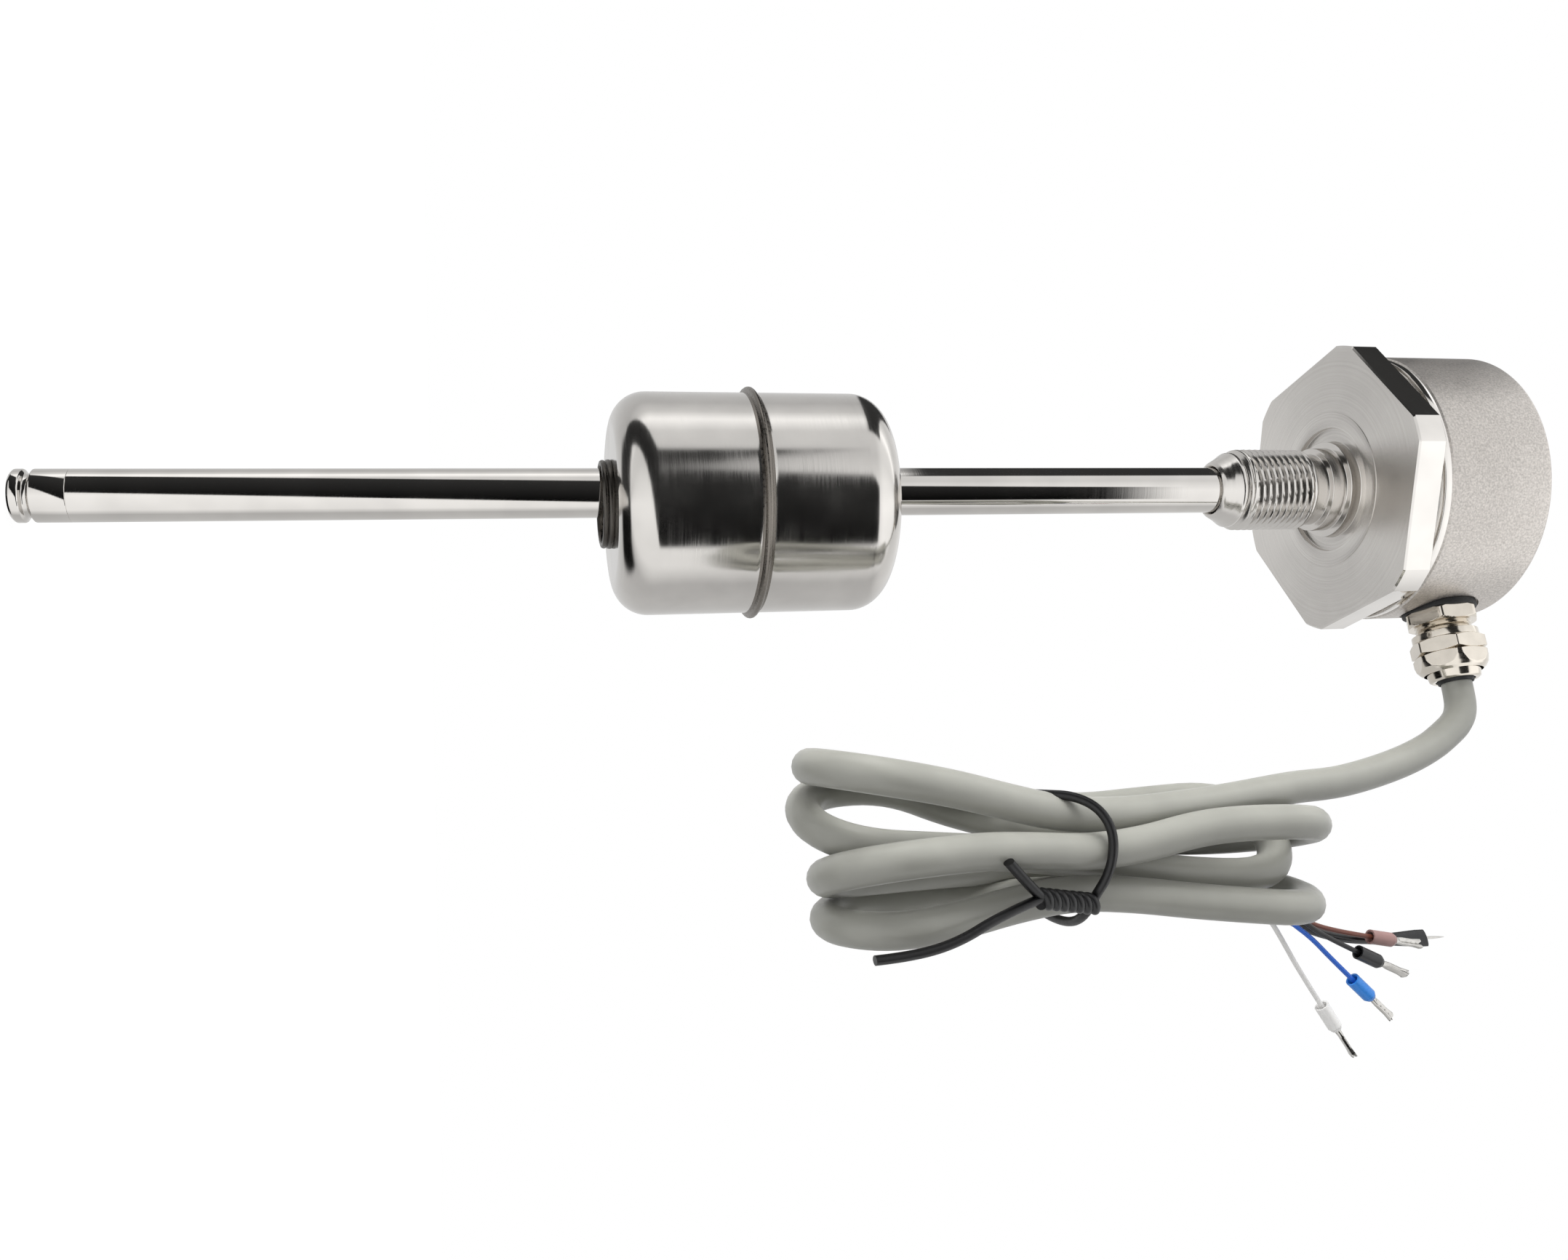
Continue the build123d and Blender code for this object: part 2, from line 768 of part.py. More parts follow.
def ferrule_collar(color):
    entry, way = core_end(color)
    outer_r = ferrule_collar_d / 2
    bore_r = ferrule_pin_d / 2 + fit_gap / 2
    collar = turned([
        (ferrule_mouth_d / 2, 0),
        (outer_r, 0),
        (outer_r, ferrule_collar_length - 0.8),
        (outer_r - 0.4, ferrule_collar_length),
        (bore_r, ferrule_collar_length),
        (bore_r, ferrule_mouth_depth),
    ])
    return Plane(origin=entry, z_dir=way) * collar


def ferrule_pin(color):
    """The metal tube of a ferrule, crimped flat on the strands."""
    entry, way = core_end(color)
    start = ferrule_collar_length - ferrule_pin_inside
    round_end = ferrule_collar_length + 0.6
    tip = start + ferrule_pin_length
    width, height = ferrule_crimp
    barrel = rod(ferrule_pin_d, start, round_end)
    blade = loft([
        Pos(0, 0, round_end) * Rectangle(ferrule_pin_d * 0.72, ferrule_pin_d * 0.66),
        Pos(0, 0, round_end + 1.4) * Rectangle(width, height),
        Pos(0, 0, tip) * Rectangle(width, height * 0.9),
    ], ruled=True)
    return Plane(origin=entry, z_dir=way) * (barrel + blade)


def drain_sleeve():
    return tube_along(in_hank(drain_route), drain_sleeve_d, "drain_sleeve")


def drain_wire():
    route = in_hank(drain_route)
    way = route[-1] - route[-2]
    return Plane(origin=route[-1], z_dir=way) * rod(drain_wire_d, 0, drain_wire_length)


def twist_tie():
    """A coated wire round the hank, twisted at the front, with a long and a short tail."""
    waist = [s for s in hank_sections if s[0] == tie_ring_at][0]
    height, across, depth, half_width, half_depth, corner = waist
    spread = seat_gap + tie_d / 2
    outline = RectangleRounded(2 * (half_width + spread), 2 * (half_depth + spread), corner + spread)
    loop = Pos(across, depth, height) * outline.wire()
    start = loop @ 0
    band = sweep(Plane(origin=start, z_dir=loop % 0) * Circle(tie_d / 2), loop)
    low, high = tie_knot_ends
    knot_axis = high - low
    knot_body = rod(tie_knot_d, 0, knot_axis.length)
    knot = Plane(origin=low, z_dir=knot_axis) * fillet(knot_body.edges(), tie_knot_d * 0.35)
    ring_and_knot = hank_frame.location * (band + knot)
    tail = tube_along(in_hank(tie_tail_route), tie_tail_d, "twist_tie tail")
    stub = tube_along(in_hank(tie_stub_route), tie_tail_d, "twist_tie stub")
    return ring_and_knot + tail + stub


def build():
    parts = {
        "stem_tube": stem_tube(),
        "stem_end_plug": stem_end_plug(),
        "process_fitting": process_fitting(),
        "housing": housing(),
        "housing_seal_ring": housing_seal_ring(),
        "float_upper_shell": float_shell(1),
        "float_lower_shell": float_shell(-1),
        "float_bore_tube": float_bore_tube(),
        "float_magnet": float_magnet(),
        "float_magnet_carrier": float_magnet_carrier(),
        "waveguide_wire": waveguide_wire(),
        "waveguide_sleeve": waveguide_sleeve(),
        "return_wire": return_wire(),
        "tip_damper": tip_damper(),
        "stem_spacers": stem_spacers(),
        "coil_bobbin": coil_bobbin(),
        "pickup_coil": pickup_coil(),
        "bias_magnet": bias_magnet(),
        "circuit_board": circuit_board(),
        "board_standoffs": board_standoffs(),
        "board_screws": board_screws(),
        "board_chip": board_chip(),
        "board_capacitors": board_capacitors(),
        "cable_connector": cable_connector(),
        "inner_leads": inner_leads(),
        "gland_body": gland_body(),
        "gland_seal": gland_seal(),
        "gland_claw": gland_claw(),
        "gland_bush": gland_bush(),
        "gland_dome_nut": gland_dome_nut(),
        "cable_tail": cable_tail(),
        "cable_lead": cable_lead(),
        "cable_hank": cable_hank(),
        "cable_end_sleeve": cable_end_sleeve(),
        "drain_sleeve": drain_sleeve(),
        "drain_wire": drain_wire(),
        "twist_tie": twist_tie(),
    }
    for color in core_routes:
        parts["wire_" + color] = core_wire(color)
        parts["ferrule_collar_" + color] = ferrule_collar(color)
        parts["ferrule_pin_" + color] = ferrule_pin(color)
    return parts


os.makedirs("parts", exist_ok=True)
for node, shape in build().items():
    export_step(shape, "parts/" + node + ".step")
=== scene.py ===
"""Magnetostrictive level sensor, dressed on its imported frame.

Lengths in the tables below are millimetres in the frame's own axes. Z is the stem's
axis and points up to the head, and X is the way the cable gland points.
"""
import math
import random

import bmesh
import bpy
from bpy.props import FloatProperty, FloatVectorProperty, IntProperty, PointerProperty
from mathutils import Matrix, Vector


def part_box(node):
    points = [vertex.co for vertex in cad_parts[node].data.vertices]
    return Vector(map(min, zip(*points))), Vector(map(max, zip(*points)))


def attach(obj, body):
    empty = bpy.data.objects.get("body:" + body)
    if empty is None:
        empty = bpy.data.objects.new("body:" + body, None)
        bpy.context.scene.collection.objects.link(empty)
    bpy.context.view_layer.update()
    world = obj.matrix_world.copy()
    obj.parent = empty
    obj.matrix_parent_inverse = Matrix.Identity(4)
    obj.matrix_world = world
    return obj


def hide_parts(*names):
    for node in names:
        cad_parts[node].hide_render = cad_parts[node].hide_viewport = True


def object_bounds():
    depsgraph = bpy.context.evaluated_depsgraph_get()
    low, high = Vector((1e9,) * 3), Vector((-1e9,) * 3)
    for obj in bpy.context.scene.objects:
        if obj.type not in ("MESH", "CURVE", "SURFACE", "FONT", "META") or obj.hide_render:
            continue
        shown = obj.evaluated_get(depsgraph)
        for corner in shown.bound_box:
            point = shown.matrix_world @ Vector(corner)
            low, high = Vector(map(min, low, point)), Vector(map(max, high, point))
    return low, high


bl_info = {
    "name": "Magnetostrictive level sensor",
    "version": (1, 0, 0),
    "blender": (4, 5, 0),
    "location": "3D View > Sidebar > Level sensor",
    "description": "Dresses the frame of a level sensor with its float, threads, cable and finishes",
    "category": "Object",
}

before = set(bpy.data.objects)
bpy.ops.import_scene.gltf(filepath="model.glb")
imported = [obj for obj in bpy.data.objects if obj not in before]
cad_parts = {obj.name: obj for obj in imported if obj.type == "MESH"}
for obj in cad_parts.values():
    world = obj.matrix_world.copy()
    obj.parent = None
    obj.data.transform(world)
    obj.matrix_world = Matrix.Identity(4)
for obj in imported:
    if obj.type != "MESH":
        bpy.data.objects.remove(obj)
cad_box = [list(corner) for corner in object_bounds()]
MM = 0.001


def linear(code):
    """A written sRGB colour as the linear values that shaders use."""
    values = [int(code[i:i + 2], 16) / 255 for i in (1, 3, 5)]
    return tuple(v / 12.92 if v <= 0.04045 else ((v + 0.055) / 1.055) ** 2.4 for v in values)


def node_depth(name):
    """Height of a node's box in millimetres."""
    low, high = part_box(name)
    return (high[2] - low[2]) / MM


class SensorSizes(bpy.types.PropertyGroup):
    """Sizes of the details that are drawn on the frame."""

    thread_pitch: FloatProperty(
        name="Thread pitch", description="Distance between thread crests in mm", default=1.5, min=0.5, max=3)
    thread_depth: FloatProperty(
        name="Thread depth", description="Crest to root in mm", default=0.92, min=0.2, max=2)
    rib_round: FloatProperty(
        name="Rib rounding", description="Radius of the float rib's edge in mm", default=0.6, min=0.1, max=0.65)
    cable_diameter: FloatProperty(
        name="Cable diameter", description="Outer diameter of the jacket in mm", default=6.5, min=3, max=12)
    core_diameter: FloatProperty(
        name="Core diameter", description="Diameter of one insulated core in mm", default=1.0, min=0.5, max=2)
    knot_twists: IntProperty(
        name="Knot twists", description="Half turns in the twist tie's knot", default=7, min=2, max=12)


class SensorColours(bpy.types.PropertyGroup):
    """Colours that a user would change."""

    jacket: FloatVectorProperty(
        name="Cable jacket", description="Grey PVC", subtype="COLOR", size=3, default=linear("#95958E"))
    steel: FloatVectorProperty(
        name="Stainless steel", description="Polished 316L", subtype="COLOR", size=3, default=linear("#D2CFCB"))
    blasted: FloatVectorProperty(
        name="Blasted steel", description="Bead blasted 316L", subtype="COLOR", size=3, default=linear("#C8C3BE"))
    nickel: FloatVectorProperty(
        name="Nickel plate", description="Plated brass gland", subtype="COLOR", size=3, default=linear("#DAD3C8"))


def add(tree, kind, settings=None, **inputs):
    """Add one node. Inputs are values or sockets, with a leading i for a numbered one."""
    node = tree.nodes.new(kind)
    for key, value in (settings or {}).items():
        setattr(node, key, value)
    for key, value in inputs.items():
        name = key.replace("_", " ")
        socket = node.inputs[int(key[1:])] if key[0] == "i" and key[1:].isdigit() else node.inputs[name]
        if isinstance(value, bpy.types.NodeSocket):
            tree.links.new(value, socket)
        else:
            socket.default_value = value
    return node


def fresh(name):
    """A new material with an output, a shader and the object's own coordinates."""
    material = bpy.data.materials.new(name)
    material.use_nodes = True
    tree = material.node_tree
    tree.nodes.clear()
    shader = add(tree, "ShaderNodeBsdfPrincipled")
    output = add(tree, "ShaderNodeOutputMaterial", Surface=shader.outputs[0])
    output.location = (300, 0)
    place = add(tree, "ShaderNodeTexCoord").outputs["Object"]
    return material, tree, shader, place


def rgba(colour):
    return (colour[0], colour[1], colour[2], 1.0)


def grain(tree, place, size, stretch=(1, 1, 1), detail=2.0):
    """Noise whose grains are about this many millimetres, drawn out along an axis by stretch."""
    scaled = add(tree, "ShaderNodeMapping", Vector=place, Scale=[1 / s for s in stretch])
    noise = add(tree, "ShaderNodeTexNoise", Vector=scaled.outputs[0], Scale=1 / (size * MM), Detail=detail)
    return noise.outputs["Fac"]


def spread(tree, value, low, high, start=0.3, end=0.7):
    """Map a noise value to a range."""
    node = add(tree, "ShaderNodeMapRange", i0=value, i1=start, i2=end, i3=low, i4=high)
    return node.outputs[0]


def relief(tree, shader, height, depth, strength=1.0):
    """Bump of this many millimetres at full height."""
    bump = add(tree, "ShaderNodeBump", Height=height, Distance=depth * MM, Strength=strength)
    tree.links.new(bump.outputs[0], shader.inputs["Normal"])


def tinted(tree, shader, value, first, second):
    """Base colour that wanders between two close shades."""
    mix = add(tree, "ShaderNodeMix", {"data_type": "RGBA"}, i0=value, i6=rgba(first), i7=rgba(second))
    tree.links.new(mix.outputs[2], shader.inputs["Base Color"])


def shade(colour, factor):
    return tuple(min(1.0, c * factor) for c in colour)


def polished_steel(name, colour, rough, lines):
    """Mirror polished stainless steel. Fine rings from the polishing belt streak its reflections."""
    material, tree, shader, place = fresh(name)
    shader.inputs["Metallic"].default_value = 1.0
    streaks = grain(tree, place, lines, (60, 60, 1), 4.0)
    clouds = grain(tree, place, 9.0)
    tinted(tree, shader, spread(tree, clouds, 0, 1), shade(colour, 0.94), shade(colour, 1.04))
    wear = add(tree, "ShaderNodeMath", {"operation": "MULTIPLY"}, i0=streaks, i1=clouds)
    tree.links.new(spread(tree, wear.outputs[0], rough * 0.7, rough * 1.5, 0.1, 0.4), shader.inputs["Roughness"])
    relief(tree, shader, streaks, 0.0012)
    return material


def turned_steel(name, colour, rough):
    """Stainless steel as it leaves the lathe: feed marks 0.3 mm apart run round the axis,
    so its faces are satin with a soft bow tie of light."""
    material, tree, shader, place = fresh(name)
    shader.inputs["Metallic"].default_value = 1.0
    shader.inputs["Anisotropic"].default_value = 0.8
    tangent = add(tree, "ShaderNodeTangent", {"direction_type": "RADIAL", "axis": "Z"})
    tree.links.new(tangent.outputs[0], shader.inputs["Tangent"])
    axes = add(tree, "ShaderNodeSeparateXYZ", i0=place)
    radius = add(tree, "ShaderNodeVectorMath", {"operation": "LENGTH"},
                 i0=add(tree, "ShaderNodeCombineXYZ", i0=axes.outputs[0], i1=axes.outputs[1]).outputs[0])
    along = add(tree, "ShaderNodeMath", {"operation": "ADD"}, i0=radius.outputs["Value"], i1=axes.outputs[2])
    rings = add(tree, "ShaderNodeCombineXYZ", i0=along.outputs[0])
    marks = grain(tree, rings.outputs[0], 0.6, (1, 1, 1), 3.0)
    clouds = grain(tree, place, 6.0)
    tinted(tree, shader, spread(tree, marks, 0, 1), shade(colour, 0.93), shade(colour, 1.03))
    tree.links.new(spread(tree, clouds, rough * 0.95, rough * 1.05), shader.inputs["Roughness"])
    relief(tree, shader, marks, 0.0015)
    return material


def blasted_steel(name, colour):
    """Bead blasted stainless steel: dimples of about 0.25 mm make it an even matt grey."""
    material, tree, shader, place = fresh(name)
    shader.inputs["Metallic"].default_value = 1.0
    dimples = grain(tree, place, 0.42, (1, 1, 1), 3.0)
    clouds = grain(tree, place, 12.0)
    both = add(tree, "ShaderNodeMix", {"data_type": "FLOAT"}, i0=0.2, i2=dimples, i3=clouds)
    tinted(tree, shader, spread(tree, both.outputs[0], 0, 1, 0.34, 0.66), shade(colour, 0.76), shade(colour, 1.16))
    tree.links.new(spread(tree, clouds, 0.36, 0.46), shader.inputs["Roughness"])
    relief(tree, shader, dimples, 0.03, 0.8)
    return material


def plated_brass(name, colour):
    """Nickel plated brass: bright and faintly warm, with a little orange peel from the plating."""
    material, tree, shader, place = fresh(name)
    shader.inputs["Metallic"].default_value = 1.0
    peel = grain(tree, place, 0.9)
    clouds = grain(tree, place, 3.0)
    tinted(tree, shader, spread(tree, clouds, 0, 1), shade(colour, 0.92), shade(colour, 1.02))
    tree.links.new(spread(tree, clouds, 0.1, 0.2), shader.inputs["Roughness"])
    relief(tree, shader, peel, 0.006)
    return material


def plain_metal(name, colour, rough, size=0.4, depth=0.004):
    """A small metal piece with fine handling marks in its shine."""
    material, tree, shader, place = fresh(name)
    shader.inputs["Metallic"].default_value = 1.0
    marks = grain(tree, place, size, (1, 1, 1), 3.0)
    tinted(tree, shader, spread(tree, marks, 0, 1), shade(colour, 0.85), shade(colour, 1.05))
    tree.links.new(spread(tree, marks, rough * 0.7, rough * 1.4), shader.inputs["Roughness"])
    relief(tree, shader, marks, depth)
    return material


def moulded(name, colour, rough, size=0.5, depth=0.006, drift=0.08, sheen=0.0):
    """Plastic or rubber. Its fine grain breaks the highlight, and its colour drifts a little."""
    material, tree, shader, place = fresh(name)
    shader.inputs["Sheen Weight"].default_value = sheen
    fine = grain(tree, place, size, (1, 1, 1), 3.0)
    clouds = grain(tree, place, 8.0)
    tinted(tree, shader, spread(tree, clouds, 0, 1), shade(colour, 1 - drift), shade(colour, 1 + drift))
    tree.links.new(spread(tree, fine, rough * 0.85, rough * 1.15), shader.inputs["Roughness"])
    relief(tree, shader, fine, depth)
    return material


def wound_copper(name):
    """Enamelled copper wire in layers, 0.12 mm a turn drawn at 0.2 mm so that it shows."""
    material, tree, shader, place = fresh(name)
    shader.inputs["Metallic"].default_value = 0.85
    shader.inputs["Coat Weight"].default_value = 0.6
    turns = add(tree, "ShaderNodeTexWave", {"bands_direction": "Z"}, Vector=place, Scale=1 / (0.2 * MM * 6.28))
    tinted(tree, shader, turns.outputs["Fac"], linear("#7A3B1C"), linear("#C77A45"))
    shader.inputs["Roughness"].default_value = 0.3
    relief(tree, shader, turns.outputs["Fac"], 0.05)
    return material


def solder_mask(name):
    """Green solder mask on glass epoxy. The weave under it shows as faint squares of 0.5 mm."""
    material, tree, shader, place = fresh(name)
    weave = add(tree, "ShaderNodeTexChecker", Vector=place, Scale=1 / (0.5 * MM))
    tinted(tree, shader, weave.outputs["Fac"], linear("#0F4A2C"), linear("#145735"))
    shader.inputs["Roughness"].default_value = 0.3
    shader.inputs["Coat Weight"].default_value = 0.4
    relief(tree, shader, weave.outputs["Fac"], 0.004)
    return material


def make_finishes(colours):
    """Every finish of the sensor, by the record's slot."""
    steel = tuple(colours.steel)
    # The names are the real materials. Each function says what its finish gives the eye.
    return {
        # Each part's factor on the one steel colour is painted light and shade: it paints the turned hexagon face and
        # the flats lighter, and the float's shells darker, than the stem.
        "stem_steel": polished_steel("Drawn and polished 316L tube", steel, 0.05, 0.3),
        "fitting_steel": turned_steel("Turned 316L bar", shade(steel, 1.14), 0.26),
        "flat_steel": polished_steel("Polished hexagon flats", shade(steel, 1.05), 0.05, 0.4),
        "float_steel": polished_steel("Deep drawn and polished 316L shell", shade(steel, 0.93), 0.13, 0.18),
        "thread_steel": polished_steel("Cut and brushed thread", shade(steel, 1.02), 0.17, 0.5),
        "rib_steel": plain_metal("Heat tinted weld rib", linear("#7D7872"), 0.3, 0.6, 0.02),
        # The lip is drawn in a dark grey, far darker than the float's steel.
        "lip_steel": plain_metal("Rolled lip in dark grey", linear("#524F4B"), 0.3, 1.6, 0.003),
        "housing_steel": blasted_steel("Bead blasted 316L", tuple(colours.blasted)),
        "gland_metal": plated_brass("Nickel plated brass", tuple(colours.nickel)),
        "inner_metal": plain_metal("Drawn spring steel", linear("#8E8F90"), 0.25),
        "copper": wound_copper("Enamelled copper winding"),
        "brass": plain_metal("Turned brass", linear("#C8A860"), 0.25),
        "screw_steel": plain_metal("Zinc plated steel", linear("#BFC3C6"), 0.3),
        "can_aluminium": plain_metal("Drawn aluminium can", linear("#C9CBCD"), 0.35),
        "tinned_copper": plain_metal("Tinned copper", linear("#BEBCB8"), 0.16, 1.2, 0.004),
        "magnet": moulded("Sintered ferrite", linear("#2A2A2C"), 0.55, 0.2, 0.02),
        "inner_plastic": moulded("Moulded PTFE", linear("#E6E4DC"), 0.45),
        "black_rubber": moulded("Nitrile rubber", linear("#191A1B"), 0.6, 0.4, 0.02, 0.15),
        "board": solder_mask("Solder mask on glass epoxy"),
        "chip_black": moulded("Epoxy mould compound", linear("#1B1B1D"), 0.5, 0.15, 0.01),
        "connector_plastic": moulded("Moulded nylon", linear("#D8D4C4"), 0.45),
        "cable_grey": moulded("Extruded PVC jacket", tuple(colours.jacket), 0.36, 1.2, 0.006, 0.05, 0.08),
        "shrink_black": moulded("Polyolefin shrink sleeve", linear("#0B0B0E"), 0.36, 1.0, 0.01, 0.2),
        "tie_black": moulded("PVC coated twist wire", linear("#08080A"), 0.4, 0.8, 0.01, 0.2),
        "core_white": moulded("White core insulation", linear("#E6E5E3"), 0.4, 2.0, 0.001),
        "core_blue": moulded("Blue core insulation", linear("#2263CC"), 0.35, 2.0, 0.001),
        "core_black": moulded("Black core insulation", linear("#101013"), 0.4, 2.0, 0.001),
        "core_brown": moulded("Brown core insulation", linear("#6A3B2E"), 0.4, 2.0, 0.001),
        "collar_white": moulded("White nylon collar", linear("#F0EFED"), 0.4, 2.0, 0.001),
        "collar_blue": moulded("Blue nylon collar", linear("#2E84DC"), 0.35, 2.0, 0.001),
        "collar_black": moulded("Black nylon collar", linear("#131417"), 0.35, 2.0, 0.001),
        "collar_brown": moulded("Mauve brown nylon collar", linear("#967571"), 0.4, 2.0, 0.001),
    }


finishes = {}


def finish_with(thing, slot):
    """Give a piece, or a CAD node, the finish of one of the record's slots."""
    if isinstance(thing, str):
        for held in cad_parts[thing].material_slots:
            held.material = finishes[slot]
        return
    thing.data.materials.append(finishes[slot])


def settle(piece, body, slot, *nodes):
    """Put a new piece on its body, in its finish, in place of the nodes it stands for."""
    finish_with(piece, slot)
    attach(piece, body)
    if nodes:
        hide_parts(*nodes)
    return piece


def link(name, data):
    piece = bpy.data.objects.new(name, data)
    bpy.context.scene.collection.objects.link(piece)
    return piece


def eased(outline, size, steps=3):
    """Round each corner of a closed outline by about this many millimetres."""
    rounded = []
    count = len(outline)
    for i, corner in enumerate(outline):
        before = Vector(outline[i - 1]) - Vector(corner)
        after = Vector(outline[(i + 1) % count]) - Vector(corner)
        cut = min(size, before.length * 0.4, after.length * 0.4)
        straight = abs(before.normalized().dot(after.normalized())) > 0.995
        if corner[0] == 0 or straight or cut < 0.01:
            rounded.append(tuple(corner))
            continue
        first = Vector(corner) + before.normalized() * cut
        last = Vector(corner) + after.normalized() * cut
        for step in range(steps + 1):
            t = step / steps
            point = first * (1 - t) ** 2 + Vector(corner) * 2 * t * (1 - t) + last * t ** 2
            rounded.append((point.x, point.y))
    return rounded


def dense(outline, low, high, step):
    """Add points to the runs of an outline between two heights, for detail that turns with them."""
    points = []
    for here, there in zip(outline, outline[1:] + outline[:1]):
        points.append(here)
        inside = min(here[1], there[1]) >= low - 1e-6 and max(here[1], there[1]) <= high + 1e-6
        length = math.dist(here, there)
        if inside and length > step * 1.5:
            parts = math.ceil(length / step)
            for k in range(1, parts):
                t = k / parts
                points.append((here[0] + (there[0] - here[0]) * t, here[1] + (there[1] - here[1]) * t))
    return points


def turned(name, outline, segments=192, shape=None, place=Matrix(), sharp=35, extra=()):
    """A closed outline of (radius, height) turned about Z. shape may change the radius at an angle."""
    angles = sorted(set([2 * math.pi * i / segments for i in range(segments)] + list(extra)))
    body = bmesh.new()
    rows = []
    for radius, height in outline:
        if radius == 0:
            pole = body.verts.new(place @ (Vector((0, 0, height)) * MM))
            rows.append([pole] * len(angles))
            continue
        row = []
        for angle in angles:
            r = shape(radius, height, angle) if shape else radius
            row.append(body.verts.new(place @ (Vector((r * math.cos(angle), r * math.sin(angle), height)) * MM)))
        rows.append(row)
    for here, there in zip(rows, rows[1:] + rows[:1]):
        for i in range(len(angles)):
            j = (i + 1) % len(angles)
            corners = []
            for vert in (here[i], here[j], there[j], there[i]):
                if vert not in corners:
                    corners.append(vert)
            if len(corners) > 2:
                body.faces.new(corners)
    bmesh.ops.recalc_face_normals(body, faces=body.faces)
    mesh = bpy.data.meshes.new(name)
    body.to_mesh(mesh)
    body.free()
    mesh.shade_smooth()
    mesh.set_sharp_from_angle(angle=math.radians(sharp))
    return link(name, mesh)


def smooth_line(name, points, diameter=None, closed=False, resolution=8):
    """A NURBS curve of order 3 through the neighbourhood of its points, in millimetres."""
    curve = bpy.data.curves.new(name, "CURVE")
    curve.dimensions = "3D"
    curve.resolution_u = resolution
    spline = curve.splines.new("NURBS")
    spline.points.add(len(points) - 1)
    for slot, point in zip(spline.points, points):
        slot.co = (point[0] * MM, point[1] * MM, point[2] * MM, 1)
    spline.order_u = 3
    if closed:
        spline.use_cyclic_u = True
    else:
        spline.use_endpoint_u = True
    if diameter:
        curve.bevel_depth = diameter * MM / 2
        curve.bevel_resolution = 7
        curve.use_fill_caps = not closed
    return link(name, curve)


def points_along(name, points, resolution=10):
    """Points of the smooth line itself, in metres, for a piece that follows it."""
    guide = smooth_line(name + "_guide", points, resolution=resolution)
    mesh = bpy.data.meshes.new_from_object(guide)
    found = [vert.co.copy() for vert in mesh.vertices]
    bpy.data.objects.remove(guide)
    bpy.data.meshes.remove(mesh)
    return found


def swept(name, path, section, sides=24, up=Vector((0, 0, 1))):
    """A closed tube along points in metres. section gives the offset across and up, in
    millimetres, at a share of the length and an angle."""
    lengths = [0.0]
    for here, there in zip(path, path[1:]):
        lengths.append(lengths[-1] + (there - here).length)
    body = bmesh.new()
    rows = []
    side = None
    for i, point in enumerate(path):
        way = (path[min(i + 1, len(path) - 1)] - path[max(i - 1, 0)]).normalized()
        if side is None:
            side = way.cross(up).normalized()
        side = (side - way * side.dot(way)).normalized()
        lift = side.cross(way)
        share = lengths[i] / lengths[-1]
        row = []
        for k in range(sides):
            across, high, forward = section(share, 2 * math.pi * k / sides)
            row.append(body.verts.new(point + (side * across + lift * high + way * forward) * MM))
        rows.append(row)
    for here, there in zip(rows, rows[1:]):
        for k in range(sides):
            j = (k + 1) % sides
            body.faces.new((here[k], here[j], there[j], there[k]))
    body.faces.new(rows[0])
    body.faces.new(rows[-1])
    bmesh.ops.recalc_face_normals(body, faces=body.faces)
    mesh = bpy.data.meshes.new(name)
    body.to_mesh(mesh)
    body.free()
    mesh.shade_smooth()
    mesh.set_sharp_from_angle(angle=math.radians(50))
    return link(name, mesh)


# Sizes shared with the frame.
TIP = -272.5
PLUG_TOP = TIP + 10
HEX_LOW = 0.2
HEX_HIGH = 6.7
DECK = 9.2
HOUSING_TOP = 34.0
HOUSING_R = 29.8
CAVITY_R = 26.8
GLAND_Z = (DECK + HOUSING_TOP) / 2
GLAND_SEAT = 28.8
GLAND_FACE = 30.2
GLAND_NECK = 33.2
GLAND_NUT = 35.2
GLAND_MOUTH = 46.0
FLOAT_AT = Vector((2.45, 0, -135.0))

# The cable's lead, in the frame's axes, from the gland's mouth down to the hank.
lead = [
    (46, 0, 21.6), (48.6, 0, 21.6), (52.6, -0.5, 20.8), (55.8, -1.3, 18.2), (58.6, -2.2, 13.6),
    (61.4, -3.5, 8.2), (64.4, -5.6, -0.4), (67.0, -8.2, -10.8), (69.0, -11.0, -21.4),
]
# The hank has axes of its own: across it, to the back, and up along it.
hank_middle = Vector((81.5, -18.5, -81.5))
hank_up = Vector((0, 0.10, 0.995)).normalized()
hank_across = Vector((0.954, 0.300, -0.030))
hank_across = (hank_across - hank_up * hank_across.dot(hank_up)).normalized()
hank_back = hank_up.cross(hank_across)

